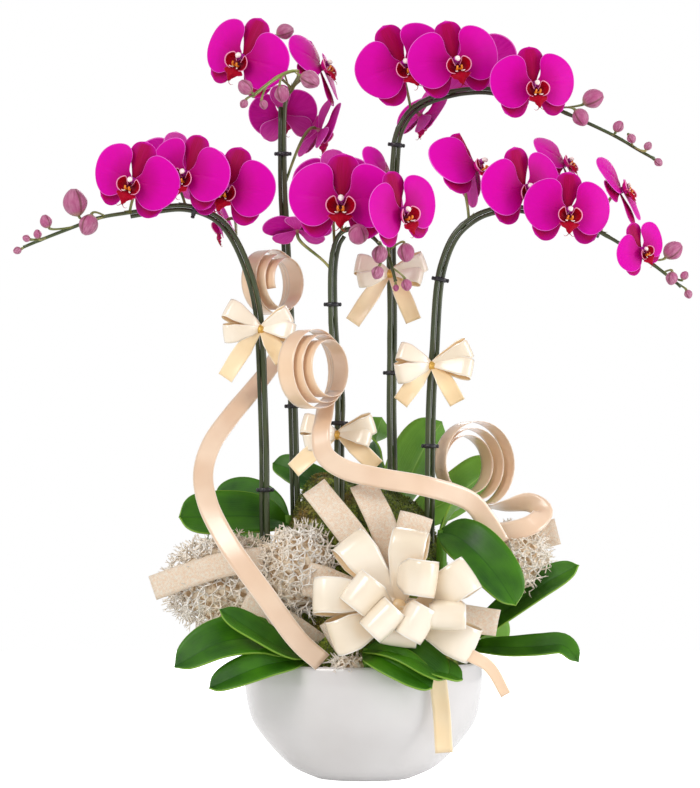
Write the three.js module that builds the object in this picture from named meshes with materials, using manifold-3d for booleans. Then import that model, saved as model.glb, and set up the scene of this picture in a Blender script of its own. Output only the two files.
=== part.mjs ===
// Potted moth orchid: five arching flower spikes in a low round ceramic bowl, dressed with moss,
// bleached lace lichen, ribbons and bows. Millimetres, +Z up, the viewer's side is -Y, and the
// origin is the centre of the bowl's flat underside.
import * as THREE from 'three';
import { mergeVertices } from 'three/addons/utils/BufferGeometryUtils.js';
import Module from 'manifold-3d';

const wasm = await Module();
wasm.setup();

// Driving dimensions, in millimetres.
const GAP = 0.3;
const POT_HEIGHT = 126;
const POT_RADIUS = 130;
const POT_FOOT_RADIUS = 52;
const POT_WALL = 6;
const MEDIUM_TOP = 114;
const MOUND_RADIUS = 112;
const MOUND_HEIGHT = 185;
const MOUND_CENTRE_Y = 5;
const STEM_FOOT = 130;
const STEM_RADIUS = 3.4;
const STAKE_RADIUS = 2.3;
const TEPAL_THICKNESS = 1.1;
const BLOOM_BACK = 8;
const LEAF_THICKNESS = 2.2;
const RIBBON_WIDTH = 22;
const RIBBON_THICKNESS = 0.8;
const SATIN_WIDTH = 38;
const BURLAP_THICKNESS = 1;
const BURLAP_WIDTH = 30;

const V = (x, y, z) => new THREE.Vector3(x, y, z);
const UP = V(0, 0, 1);
const AWAY = V(0, 1, 0);
const rad = THREE.MathUtils.degToRad;

// Seeded random numbers, the same on each run.
function seeded(seed) {
  let state = seed;
  return () => {
    state = (state * 16807) % 2147483647;
    return state / 2147483647;
  };
}

// Closed geometry from rings of points; a ring of one point is a tip.
function loft(rings) {
  const positions = [];
  const starts = [];
  for (const ring of rings) {
    starts.push(positions.length / 3);
    for (const p of ring) positions.push(p.x, p.y, p.z);
  }
  const faces = [];
  for (let i = 0; i + 1 < rings.length; i++) {
    const n = Math.max(rings[i].length, rings[i + 1].length);
    for (let j = 0; j < n; j++) {
      const k = (j + 1) % n;
      const a = starts[i];
      const b = starts[i + 1];
      if (rings[i + 1].length > 1) faces.push(a + (rings[i].length > 1 ? j : 0), b + k, b + j);
      if (rings[i].length > 1) faces.push(a + j, a + k, b + (rings[i + 1].length > 1 ? k : 0));
    }
  }
  const last = rings.length - 1;
  for (let j = 1; j + 1 < rings[0].length; j++) faces.push(starts[0], starts[0] + j + 1, starts[0] + j);
  const end = starts[last];
  for (let j = 1; j + 1 < rings[last].length; j++) faces.push(end, end + j, end + j + 1);
  return outward(positions, faces);
}

// An indexed geometry whose faces point out.
function outward(positions, faces) {
  let volume = 0;
  const corner = (i) => V(positions[3 * i], positions[3 * i + 1], positions[3 * i + 2]);
  for (let i = 0; i < faces.length; i += 3) {
    volume += corner(faces[i]).dot(corner(faces[i + 1]).cross(corner(faces[i + 2])));
  }
  if (volume < 0) faces.reverse();
  const geometry = new THREE.BufferGeometry();
  geometry.setAttribute('position', new THREE.Float32BufferAttribute(positions, 3));
  geometry.setIndex(faces);
  return geometry;
}

function solidOf(geometry) {
  const bare = geometry.clone();
  bare.deleteAttribute('normal');
  bare.deleteAttribute('uv');
  const merged = mergeVertices(bare, 1e-4);
  return new wasm.Manifold(new wasm.Mesh({
    numProp: 3,
    vertProperties: new Float32Array(merged.attributes.position.array),
    triVerts: new Uint32Array(merged.index.array),
  }));
}

function geometryOf(solid) {
  const mesh = solid.getMesh();
  const geometry = new THREE.BufferGeometry();
  geometry.setAttribute('position', new THREE.Float32BufferAttribute(mesh.vertProperties, 3));
  geometry.setIndex(Array.from(mesh.triVerts));
  return geometry;
}

function join(geometries) {
  return geometries.map(solidOf).reduce((sum, solid) => sum.add(solid));
}

// The largest body of a solid that a cut left in several.
function mainBody(solid) {
  return solid.decompose().reduce((best, piece) => (piece.volume() > best.volume() ? piece : best));
}

// Unit directions along a polyline of points.
function tangents(points) {
  return points.map((p, i) => {
    const before = points[Math.max(i - 1, 0)];
    const after = points[Math.min(i + 1, points.length - 1)];
    return after.clone().sub(before).normalize();
  });
}

// A ring of points round a place, square to a direction.
function ringAt(middle, way, radius, sides) {
  const side = way.clone().cross(Math.abs(way.z) > 0.9 ? AWAY : UP).normalize();
  const other = way.clone().cross(side).normalize();
  return Array.from({ length: sides }, (_, k) => {
    const a = (2 * Math.PI * k) / sides;
    return middle.clone().addScaledVector(side, radius * Math.cos(a))
      .addScaledVector(other, radius * Math.sin(a));
  });
}

// The points with both ends drawn out by a length.
function drawnOut(points, along, length) {
  return points.map((p, i) => {
    if (i === 0) return p.clone().addScaledVector(along[i], -length);
    return i === points.length - 1 ? p.clone().addScaledVector(along[i], length) : p;
  });
}

// A round tube through the points; radius is a function of the share of the points passed, and
// clear adds to it all round.
function tube(route, radius, sides, clear) {
  const along = tangents(route);
  const points = drawnOut(route, along, clear);
  let side = Math.abs(along[0].z) > 0.9 ? V(1, 0, 0) : UP.clone();
  return loft(points.map((p, i) => {
    side = side.clone().addScaledVector(along[i], -side.dot(along[i])).normalize();
    const other = along[i].clone().cross(side);
    const r = radius(i / (points.length - 1)) + clear;
    return Array.from({ length: sides }, (_, k) => {
      const a = (2 * Math.PI * (k + 0.5)) / sides;
      return p.clone().addScaledVector(side, r * Math.cos(a)).addScaledVector(other, r * Math.sin(a));
    });
  }));
}

// A flat band through the points, with its width along the given direction at each point; clear
// adds to it all round.
function band(route, across, width, thickness, clear) {
  const along = tangents(route);
  const points = drawnOut(route, along, clear);
  return loft(points.map((p, i) => {
    const wide = across[i].clone().addScaledVector(along[i], -across[i].dot(along[i])).normalize();
    const face = along[i].clone().cross(wide);
    const w = (typeof width === 'function' ? width(i / (points.length - 1)) : width) / 2 + clear;
    const t = thickness / 2 + clear;
    return [[-w, -t], [w, -t], [w, t], [-w, t]].map(([u, v]) => (
      p.clone().addScaledVector(wide, u).addScaledVector(face, v)
    ));
  }));
}

// A smooth curve through hand-set points, sampled in equal shares.
function smooth(points, steps) {
  const curve = new THREE.CatmullRomCurve3(points.map((p) => V(...p)), false, 'catmullrom', 0.5);
  return curve.getPoints(steps);
}

// Low round bowl: turned ceramic, a flat foot, full sides that draw in under a thin rolled lip.
function potGeometry() {
  const inner = POT_RADIUS - POT_WALL;
  const profile = [
    [0, 0], [POT_FOOT_RADIUS, 0], [73, 9], [88, 20], [108, 42], [123, 65], [POT_RADIUS, 98],
    [129, 121], [126.5, POT_HEIGHT], [123.5, 124], [inner - 1, 108], [inner - 8, 66], [102, 46],
    [80, 24], [0, 14],
  ];
  return new THREE.LatheGeometry(profile.map(([r, z]) => new THREE.Vector2(r, z)), 24).rotateX(Math.PI / 2);
}

// Bark medium that fills the bowl, clear of its wall.
function mediumGeometry() {
  const inner = POT_RADIUS - POT_WALL;
  const profile = [
    [0, 14 + GAP], [79.4, 24.4], [101.4, 46.4], [inner - 8.5, 66.3], [inner - 1.7, 108], [121.6, MEDIUM_TOP],
    [0, MEDIUM_TOP],
  ];
  return new THREE.LatheGeometry(profile.map(([r, z]) => new THREE.Vector2(r, z)), 24).rotateX(Math.PI / 2);
}

// Height of the moss over the bowl at a distance from its middle; it swells up at the left.
function moundTop(r, angle) {
  const relief = 1 + 0.025 * Math.sin(5 * angle) + 0.02 * Math.cos(9 * angle + r / 14);
  const rise = 31 * Math.exp(-((r * Math.cos(angle) + 58) ** 2 + (r * Math.sin(angle)) ** 2) / 1800);
  return MEDIUM_TOP + GAP + 2 + (MOUND_HEIGHT * relief + rise) * (1 - (r / MOUND_RADIUS) ** 4);
}

// Steep dome of moss on the medium; clear adds to it all round for cutting what leans on it.
function moundGeometry(clear) {
  const spokes = 16;
  const reach = [28, 52, 74, 96, MOUND_RADIUS];
  const circle = (r, z) => Array.from({ length: spokes }, (_, k) => {
    const a = (2 * Math.PI * k) / spokes;
    const height = z ?? moundTop(r, a) + clear;
    return V((r + clear) * Math.cos(a), MOUND_CENTRE_Y + (r + clear) * Math.sin(a), height);
  });
  const foot = MEDIUM_TOP + GAP - clear;
  return loft([
    [V(0, MOUND_CENTRE_Y, foot)],
    circle(MOUND_RADIUS, foot),
    ...reach.slice().reverse().map((r) => circle(r)),
    [V(0, MOUND_CENTRE_Y, moundTop(0, 0) + clear)],
  ]);
}

// Flower spikes: the route from the foot to the tip, the side of the green wire that carries it
// (+1 to its left, -1 to its right as it rises), how many points the wire follows, its ties, and
// the buds as [point it grows from, x, y, z, radius, angle of its tip in the picture plane].
const SPIKES = {
  a: {
    route: [
      [-88, -25, STEM_FOOT], [-104, -30, 248], [-106, -30, 357], [-110, -34, 471], [-114, -39, 515],
      [-124, -43, 553], [-138, -45, 585], [-154, -46, 606], [-173, -46, 617], [-194, -46, 622],
      [-216, -46, 621], [-254, -50, 614], [-286, -53, 608], [-318, -56, 596], [-350, -59, 583],
      [-368, -61, 575],
    ],
    side: 1,
    staked: 11,
    ties: [1.6, 8.5],
    buds: [
      [12, -310, -68, 622, 14, 100], [12, -298, -66, 600, 11, 250], [13, -342, -68, 602, 7, 110],
      [14, -351, -70, 588, 4.8, 100], [14, -363, -70, 584, 4.2, 160], [15, -374, -62, 572, 4.4, 200],
    ],
  },
  b: {
    route: [
      [-70, 38, STEM_FOOT], [-73, 43, 275], [-76, 44, 397], [-80, 45, 503], [-84, 44, 582],
      [-88, 42, 655], [-88, 38, 742], [-80, 34, 762], [-72, 18, 774], [-76, -12, 775],
      [-92, -37, 765], [-109, -52, 750], [-121, -59, 739],
    ],
    side: 1,
    staked: 6,
    ties: [2.1, 5.4],
    buds: [
      [12, -127, -68, 748, 8.4, 135], [12, -130, -64, 731, 4.8, 240], [11, -109, -62, 730, 4.8, 290],
      [10, -90, -46, 744, 8.6, 280], [9, -60, -34, 761, 10.5, 330], [7, -88, 31, 825, 9.3, 15],
    ],
  },
  c: {
    route: [
      [-24, -38, STEM_FOOT], [-28, -45, 257], [-29, -45, 367], [-28, -45, 413], [-34, -45, 470],
      [-36, -46, 510], [-36, -48, 552], [-32, -50, 578], [-24, -52, 592], [-8, -56, 596],
      [7, -60, 588], [17, -64, 578], [26, -68, 566], [31, -72, 549], [34, -74, 537],
    ],
    side: -1,
    staked: 8,
    ties: [2.4, 5.1],
    buds: [
      [9, -5, -106, 584, 11.3, 90, 50], [11, 16, -84, 566, 9.2, 260], [12, 44, -82, 568, 9.8, 275],
      [12, 14, -86, 546, 7, 250], [13, 45, -80, 533, 6.2, 280], [14, 34, -76, 530, 3.6, 270],
    ],
  },
  d: {
    route: [
      [26, 42, STEM_FOOT], [30, 50, 314], [29, 50, 406], [30, 50, 503], [29, 50, 600], [34, 48, 692],
      [36, 47, 710], [42, 45, 725], [53, 42, 740], [71, 39, 751], [90, 35, 757], [114, 30, 761],
      [144, 24, 760], [185, 16, 748], [218, 10, 734], [251, 4, 718], [280, 0, 703], [302, -4, 689],
      [320, -8, 678],
    ],
    side: -1,
    staked: 13,
    ties: [2.4, 5.5],
    buds: [
      [14, 253, -4, 744, 11.3, 25], [14, 238, -8, 724, 9.6, 300], [16, 281, -8, 713, 6.4, 60],
      [17, 294, -12, 700, 5.3, 300], [17, 313, -12, 691, 4.8, 60], [18, 324, -8, 674, 4.8, 320],
    ],
  },
  e: {
    route: [
      [64, -16, STEM_FOOT], [69, -20, 266], [71, -20, 402], [75, -20, 466], [79, -20, 530],
      [86, -20, 565], [98, -21, 592], [115, -22, 609], [134, -23, 619], [158, -24, 623],
      [184, -25, 621], [225, -28, 609], [259, -30, 594], [286, -32, 578], [312, -35, 561],
      [330, -37, 547], [345, -40, 534],
    ],
    side: -1,
    staked: 12,
    ties: [1.7, 4.4],
    buds: [
      [14, 336, -44, 572, 10.6, 40], [15, 333, -50, 543, 7, 260], [15, 348, -48, 545, 4.8, 60],
      [16, 352, -42, 526, 4.8, 290],
    ],
  },
};

// Blooms: [spike, point it grows from, x, y, z of its middle, turn to the right, tilt up and
// clockwise roll in degrees, span of its petals, how far the petals fold back in degrees].
const BLOOMS = {
  bloom_a1: ['a', 11, -247, -94, 643, -15, -5, 20, 98, 8],
  bloom_a2: ['a', 10, -190, -84, 652, -25, 0, 17, 98, 4],
  bloom_a3: ['a', 8, -146, -74, 638, -16, 0, 16, 102, 4],
  bloom_a4: ['a', 9, -208, -2, 668, 165, 12, -8, 92, 0],
  bloom_a5: ['a', 6, -157, 18, 611, -100, -22, 0, 84, 0],
  bloom_b1: ['b', 7, -133, -6, 790, -26, 0, 24, 106, 6],
  bloom_b2: ['b', 7, -47, 36, 786, 66, 24, 25, 98, 9],
  bloom_b3: ['b', 6, -91, 98, 741, 190, 0, 10, 80, 0],
  bloom_b4: ['b', 5, -48, 74, 720, 115, -25, 10, 88, 0],
  bloom_c1: ['c', 8, -24, -92, 622, -3, 0, 2, 115, 3],
  bloom_c2: ['c', 12, 39, -116, 608, 42, 0, -16, 98, -8],
  bloom_c3: ['c', 10, 24, -40, 648, 64, 17, 44, 88, 2],
  bloom_c4: ['c', 6, -72, -42, 597, 175, 66, 0, 76, 0],
  bloom_c5: ['c', 7, -33, -16, 646, 172, 0, 0, 92, 0],
  bloom_d1: ['d', 8, 45, 4, 785, 10, 0, -28, 108, 6],
  bloom_d2: ['d', 10, 101, -8, 786, 12, 0, -12, 104, 4],
  bloom_d3: ['d', 13, 187, -24, 757, 15, 0, -5, 98, 4],
  bloom_d4: ['d', 12, 128, 66, 795, 172, 5, 4, 94, 0],
  bloom_d5: ['d', 9, 66, 80, 738, 125, -32, 0, 84, 0],
  bloom_e1: ['e', 7, 122, -46, 666, 72, 22, 12, 98, 34],
  bloom_e2: ['e', 9, 174, -62, 639, 30, 0, -13, 102, 4],
  bloom_e3: ['e', 11, 219, -82, 612, 10, 0, 4, 96, 4],
  bloom_e4: ['e', 10, 223, 12, 674, 62, 30, 35, 86, 10],
  bloom_e5: ['e', 12, 283, -14, 642, 66, 26, 36, 90, 0],
  bloom_e6: ['e', 13, 299, -70, 572, 36, -6, -30, 68, 0],
};

const routeOf = (name) => SPIKES[name].route.map((p) => V(...p));
const stemRadius = (s) => STEM_RADIUS * (1 - 0.5 * s);

// The turn of a bloom: first its roll about its face, then its tilt, then its turn.
function bloomTurn(row) {
  return new THREE.Euler(rad(-row[6]), rad(row[7]), rad(row[5]), 'ZXY');
}

// Where a bloom's column ends behind, and the way the flower stalk meets it.
function bloomBack(row) {
  const behind = AWAY.clone().applyEuler(bloomTurn(row));
  const size = row[8] / 100;
  return { behind, end: V(row[2], row[3], row[4]).addScaledVector(behind, BLOOM_BACK * size + GAP) };
}

// A flat blade round a hub, both faces fanned alike, from rim points [x, y, z].
function fanBlade(rim, hub, thickness) {
  const shifted = (points, y) => points.map((p) => V(p[0], p[1] + y, p[2]));
  return loft([
    shifted([hub], -thickness / 2), shifted(rim, -thickness / 2), shifted(rim, thickness / 2),
    shifted([hub], thickness / 2),
  ]);
}

const mirrored = (points) => points.map(([x, y, z]) => [-x, y, z]).reverse();

// The place of a point round the bloom's middle, as its angle in the picture plane.
const angleOf = ([x, , z]) => Math.atan2(z, x);

// One bloom, facing -Y: two broad petals and behind them three sepals on a tapering column, and
// in front of it a cupped lip with two upright side lobes and a pointed middle one.
function bloomSolid(span, fold) {
  const k = span / 100;
  const slope = Math.tan(rad(fold));
  const round = (points) => points.slice().sort((p, q) => angleOf(p) - angleOf(q));
  const turned = (points, degrees) => points.map((p) => V(...p).applyAxisAngle(AWAY, rad(degrees)).toArray());
  const petal = [
    [14, -1.5, -20], [29, 0, -25], [44, 2.5, -15], [50, 3, 4], [43, 1.5, 24], [28, -1, 34], [12, -1.5, 31],
    [4.4, -1.5, 15],
  ];
  const petals = round([[0, -1, 6.5], ...petal, [0, -1, -6.5], ...mirrored(petal)]);
  const sepal = [[-10, 2.8, 17], [-15, 3.6, 31], [0, 5, 44], [15, 3.6, 31], [10, 2.8, 17], [4.9, 2.4, 4.3]];
  const sepals = round([0, 130, -130].flatMap((turn) => turned(sepal, turn)));
  const collar = (r, y) => round(Array.from({ length: 5 }, (_, j) => {
    const a = (2 * Math.PI * j) / 5 - Math.PI / 2;
    return [r * Math.cos(a), y, r * Math.sin(a)];
  }));
  const half = TEPAL_THICKNESS / 2;
  const folded = (points, side) => points.map(([x, y, z]) => (
    [x * k, (y + Math.abs(x) * slope) * k + side * half, z * k]
  ));
  const flat = ([x, y, z]) => [x * k, y * k, z * k];
  const body = ringedSolid([
    [flat([0, -11.5, 0])],
    folded(collar(4.9, -1), -1), folded(petals, -1), folded(petals, 1), folded(collar(4.6, -1), 1),
    folded(collar(4.6, 2.4), -1), folded(sepals, -1), folded(sepals, 1), folded(collar(4, 2.4), 1),
    collar(2.4, BLOOM_BACK).map(flat),
  ]);
  const lobe = [[6.5, -7, 3], [12, -9, 1], [14, -10, -6], [7.5, -9, -13.5], [9, -12.5, -18]];
  const lip = [[0, -4, 0], ...lobe, [0, -12, -27], ...mirrored(lobe)];
  return join([body, fanBlade(lip.map(flat), flat([0, -5, -8]), TEPAL_THICKNESS)]);
}

// A closed body from closed rings of points round the bloom's middle, each joined to the next by
// stepping round both in order of angle; the first ring is a tip and the last is capped.
function ringedSolid(rings) {
  const positions = rings.flat(2);
  const faces = [];
  let start = 0;
  for (let i = 0; i + 1 < rings.length; i++) {
    const [one, two] = [rings[i], rings[i + 1]];
    const next = start + one.length;
    const turn = (ring, step) => (
      angleOf(ring[step % ring.length]) + 2 * Math.PI * Math.floor(step / ring.length)
    );
    let a = 0;
    let b = 0;
    while ((one.length > 1 && a < one.length) || b < two.length) {
      const more = one.length > 1 && a < one.length;
      const stepOne = more && (b >= two.length || turn(one, a + 1) <= turn(two, b + 1));
      const [p, q] = [start + (a % one.length), next + (b % two.length)];
      faces.push(p, stepOne ? start + ((a + 1) % one.length) : next + ((b + 1) % two.length), q);
      if (stepOne) a += 1;
      else b += 1;
    }
    start = next;
  }
  for (let j = 1; j + 1 < rings.at(-1).length; j++) faces.push(start, start + j, start + j + 1);
  return outward(positions, faces);
}

// A bud on its curved stalk: six ridges, pointed at the tip.
function budGeometries(start, row) {
  const [, x, y, z, radius, degrees, forward = 9] = row;
  const tip = V(Math.cos(rad(degrees)), -Math.tan(rad(forward)), Math.sin(rad(degrees))).normalize();
  const middle = V(x, y, z);
  const foot = middle.clone().addScaledVector(tip, -radius);
  const below = foot.clone().addScaledVector(tip, -radius * 0.6);
  const stalk = new THREE.QuadraticBezierCurve3(start, below, foot);
  const fine = radius > 8;
  const sides = fine ? 6 : 4;
  const shape = fine ? [[-0.75, 0.68], [-0.05, 1], [0.72, 0.66]] : [[-0.4, 0.95], [0.45, 0.9]];
  const rings = shape.map(([s, r]) => (
    ringAt(middle.clone().addScaledVector(tip, s * radius), tip, r * radius, sides)
  ));
  return [
    stalkTube([...stalk.getPoints(2), foot.clone().addScaledVector(tip, radius * 0.8)], 1.3, 3),
    loft([[foot], ...rings, [middle.clone().addScaledVector(tip, radius * 1.2)]]),
  ];
}

// A thin stalk that starts from a tip inside what it grows from and ends in one or in a flat end.
function stalkTube(points, radius, sides, lastWay) {
  const along = tangents(points);
  const last = points.length - 1;
  if (lastWay) along[last] = lastWay;
  let side = along[0].clone().cross(Math.abs(along[0].y) > 0.9 ? UP : AWAY).normalize();
  return loft(points.map((p, i) => {
    if (i === 0 || (i === last && !lastWay)) return [p];
    side = side.clone().addScaledVector(along[i], -side.dot(along[i])).normalize();
    const other = along[i].clone().cross(side);
    return Array.from({ length: sides }, (_, k) => {
      const a = (2 * Math.PI * k) / sides;
      return p.clone().addScaledVector(side, radius * Math.cos(a))
        .addScaledVector(other, radius * Math.sin(a));
    });
  }));
}

// The flower stalk from the stem to the back of a bloom.
function stalkGeometry(start, row) {
  const { behind, end } = bloomBack(row);
  const reach = start.distanceTo(end);
  const lead = start.clone().lerp(end, 0.25).addScaledVector(UP, reach * 0.12);
  const arrive = end.clone().addScaledVector(behind, Math.min(14, reach * 0.45));
  const curve = new THREE.CubicBezierCurve3(start, lead, arrive, end);
  return stalkTube(curve.getPoints(4), 1.8, 4, behind.clone().negate());
}

// A spike: the tapering stem with its buds and the stalks of its blooms, all one growth.
function spikeSolid(name, clear) {
  const spike = SPIKES[name];
  const route = routeOf(name);
  const pieces = [tube(route, stemRadius, 5, clear)];
  if (!clear) {
    for (const row of spike.buds) {
      const start = route[row[0]].clone().lerp(route[row[0] - 1], 0.2);
      pieces.push(...budGeometries(start, row));
    }
    for (const row of Object.values(BLOOMS)) {
      if (row[0] === name) pieces.push(stalkGeometry(route[row[1]], row));
    }
  }
  return join(pieces);
}

// The green plastic-covered wire beside a spike, with the dark clips that hold the two together.
function stakeSolid(name, clear) {
  const { side, staked, ties } = SPIKES[name];
  const route = routeOf(name).slice(0, staked + 1);
  const along = tangents(route);
  const beside = route.map((p, i) => {
    const away = along[i].clone().cross(AWAY).normalize().multiplyScalar(side);
    return p.clone().addScaledVector(away, STEM_RADIUS + STAKE_RADIUS + 0.35);
  });
  const rod = tube(beside, () => STAKE_RADIUS, 4, clear);
  if (clear) return solidOf(rod);
  const rings = ties.map((at) => {
    const i = Math.floor(at);
    const middle = route[i].clone().lerp(route[Math.min(i + 1, staked)], at - i);
    const way = route[Math.min(i + 1, staked)].clone().sub(route[i]).normalize();
    const out = way.clone().cross(AWAY).normalize();
    const deep = way.clone().cross(out);
    const inner = STEM_RADIUS + 1.6;
    const section = [[inner, -1.7], [inner + 1.6, 0], [inner, 1.7]];
    return ringGeometry(middle, way, out, deep, section, 5);
  });
  return join([rod, ...rings]);
}

// A closed ring of a small section turned about a direction.
function ringGeometry(middle, way, out, deep, section, sides) {
  const positions = [];
  const faces = [];
  for (let j = 0; j < sides; j++) {
    const a = (2 * Math.PI * (j + 0.5)) / sides;
    for (const [r, h] of section) {
      const p = middle.clone().addScaledVector(out, r * Math.cos(a)).addScaledVector(deep, r * Math.sin(a))
        .addScaledVector(way, h);
      positions.push(p.x, p.y, p.z);
    }
  }
  const n = section.length;
  for (let j = 0; j < sides; j++) {
    for (let i = 0; i < n; i++) {
      const a = j * n + i;
      const b = j * n + ((i + 1) % n);
      const c = ((j + 1) % sides) * n + i;
      const d = ((j + 1) % sides) * n + ((i + 1) % n);
      faces.push(a, b, c, b, d, c);
    }
  }
  return outward(positions, faces);
}

// A thick strap leaf along its route, keeled down its middle, broad past half way and blunt.
function leafGeometry(points, width, roll, clear) {
  const curve = new THREE.CatmullRomCurve3(points.map((p) => V(...p)), false, 'catmullrom', 0.5);
  const shape = [[0, 0], [0.24, 0.76], [0.52, 1], [0.78, 0.94], [0.93, 0.62], [1, 0]];
  return loft(shape.map(([s, share]) => {
    const p = curve.getPoint(s);
    const along = curve.getTangent(s);
    if (share === 0) return [p];
    const flat = along.clone().cross(UP).normalize().applyAxisAngle(along, rad(roll));
    const face = flat.clone().cross(along);
    const w = (width * share) / 2 + clear;
    const t = LEAF_THICKNESS / 2 + clear;
    const keel = 0.22 * w;
    return [[-w, -t + keel], [0, -t], [w, -t + keel], [w, t * 0.6 + keel], [0, t], [-w, t * 0.6 + keel]]
      .map(([u, v]) => p.clone().addScaledVector(flat, u).addScaledVector(face, v));
  }));
}

// Leaf groups: the short crown as [x, y, foot, top, radius], and each leaf as [width, roll, route].
const LEAVES = {
  leaves_left: {
    crown: [-84, 18, 215, 286, 8],
    blades: [
      [56, -58, [[-84, 16, 276], [-101, 4, 281], [-125, -4, 284], [-155, -12, 284], [-182, -18, 283],
                 [-202, -22, 283]]],
      [44, -45, [[-84, 20, 278], [-103, 28, 294], [-126, 42, 305], [-147, 54, 307], [-166, 62, 299]]],
      [42, 0, [[-88, 20, 276], [-112, 50, 284], [-132, 90, 262], [-142, 126, 222]]],
    ],
  },
  leaves_left_low: {
    crown: [-64, -93, MEDIUM_TOP - 8, 140, 5.5],
    blades: [
      [34, -50, [[-64, -93, 136], [-80, -112, 141], [-98, -122, 151], [-124, -130, 168],
                 [-152, -132, 186]]],
      [52, -50, [[-64, -93, 134], [-90, -100, 146], [-118, -112, 155], [-156, -126, 150],
                 [-198, -134, 126]]],
      [36, -52, [[-64, -93, 131], [-84, -116, 131], [-104, -130, 128], [-132, -138, 118],
                 [-162, -140, 104]]],
    ],
  },
  leaves_front: {
    crown: [2, -114, MEDIUM_TOP - 8, 146, 4.5],
    blades: [
      [42, 42, [[2, -114, 140], [14, -134, 138], [32, -148, 129], [50, -154, 118], [70, -156, 105]]],
      [42, 42, [[2, -114, 142], [24, -130, 146], [48, -140, 140], [68, -146, 128], [84, -148, 114]]],
      [32, 36, [[2, -114, 137], [32, -128, 136], [60, -138, 129], [84, -144, 121], [102, -146, 113]]],
    ],
  },
  leaves_back: {
    crown: [40, 72, 235, 284, 8],
    blades: [
      [36, -55, [[40, 72, 280], [8, 76, 296], [-34, 78, 314], [-62, 84, 326], [-84, 94, 338],
                 [-103, 102, 344]]],
      [62, -78, [[40, 72, 280], [44, 78, 304], [54, 84, 332], [70, 90, 364], [90, 96, 392]]],
      [48, -96, [[39, 73, 278], [28, 94, 306], [19, 106, 340], [15, 114, 374], [22, 120, 398]]],
      [50, -82, [[41, 71, 276], [72, 64, 290], [104, 68, 308], [130, 78, 328], [152, 84, 346]]],
      [46, 0, [[40, 73, 276], [44, 108, 274], [46, 138, 250], [44, 158, 212]]],
      [42, 0, [[38, 73, 274], [0, 112, 268], [-28, 142, 244], [-46, 160, 208]]],
    ],
  },
  leaves_right: {
    crown: [84, -38, 205, 270, 6],
    blades: [
      [56, 46, [[84, -38, 266], [100, -56, 262], [118, -72, 248], [140, -84, 222], [161, -92, 189]]],
      [30, -50, [[84, -36, 266], [96, -18, 286], [108, 0, 297], [118, 12, 300]]],
    ],
  },
  leaves_right_low: {
    crown: [109, 12, MEDIUM_TOP - 8, 152, 5.5],
    blades: [
      [36, 62, [[109, 12, 146], [136, 2, 164], [166, -8, 188], [200, -18, 212], [235, -24, 231]]],
      [27, 60, [[109, 10, 140], [134, -14, 142], [162, -34, 142], [191, -46, 144], [215, -51, 145],
                [230, -54, 128]]],
      [42, 0, [[109, 16, 144], [126, 44, 164], [142, 76, 160], [150, 106, 132]]],
    ],
  },
};

function leavesSolid(name, clear) {
  const { crown: [x, y, foot, top, radius], blades } = LEAVES[name];
  const stub = loft([[foot - clear, radius + clear], [top - 8, radius + clear], [top, radius * 0.6 + clear]]
    .map(([z, r]) => ringAt(V(x, y, z), UP, r, 6)));
  return join([stub, ...blades.map(([width, roll, route]) => leafGeometry(route, width, roll, clear))]);
}

// Peach ribbons: a hand-set tail that runs on into a loose roll of a few turns, which is drawn
// out along its axis. roll: middle, turn of the axis to the right, radii, turns, draw, start angle.
const RIBBONS = {
  ribbon_left: {
    pieces: 26,
    tail: [
      [-44, -118, 131], [-71, -137, 157], [-105, -144, 204], [-132, -137, 240], [-151, -124, 269],
      [-166, -104, 299], [-172, -80, 331], [-164, -57, 363], [-144, -36, 394], [-121, -12, 424],
      [-102, 6, 450], [-92, 12, 470], [-88, 16, 490],
    ],
    roll: { middle: [-107, 4, 541], turn: 50, outer: 39, inner: 25, turns: 2.7, draw: 24, start: -52 },
  },
  ribbon_middle: {
    pieces: 18,
    tail: [
      [147, -46, 255], [132, -48, 280], [112, -64, 302], [68, -96, 316], [17, -106, 325],
      [-20, -110, 334], [-42, -110, 350], [-46, -104, 374], [-42, -90, 392],
    ],
    roll: { middle: [-60, -92, 440], turn: 50, outer: 46, inner: 28, turns: 3, draw: 25, start: -50 },
  },
  ribbon_right: {
    pieces: 9,
    tail: [
      [127.4, -15.4, 266], [158, -22, 268], [184, -18, 276], [197, 0, 290], [182, 14, 300],
      [156, 18, 296], [128, 20, 294],
    ],
    roll: { middle: [124, 16, 344], turn: 34, outer: 49, inner: 28, turns: 2.8, draw: -28, start: -78 },
  },
};

function ribbonGeometry(name, clear) {
  const { pieces, tail, roll } = RIBBONS[name];
  const axis = V(Math.sin(rad(roll.turn)), -Math.cos(rad(roll.turn)), 0);
  const out = V(Math.cos(rad(roll.turn)), Math.sin(rad(roll.turn)), 0);
  const steps = Math.round(roll.turns * 9);
  const coil = Array.from({ length: steps + 1 }, (_, i) => {
    const s = i / steps;
    const a = rad(roll.start) + 2 * Math.PI * roll.turns * s;
    const r = roll.outer + (roll.inner - roll.outer) * s;
    return V(...roll.middle).addScaledVector(axis, roll.draw * s)
      .addScaledVector(out, r * Math.cos(a)).addScaledVector(UP, r * Math.sin(a));
  });
  const lead = smooth(tail, pieces);
  const points = [...lead, ...coil];
  const across = tangents(points).map((way, i) => {
    const s = Math.min(1, i / lead.length) ** 3;
    return AWAY.clone().cross(way).normalize().multiplyScalar(1 - s).addScaledVector(axis, s);
  });
  return band(points, across, RIBBON_WIDTH, RIBBON_THICKNESS, clear);
}

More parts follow.
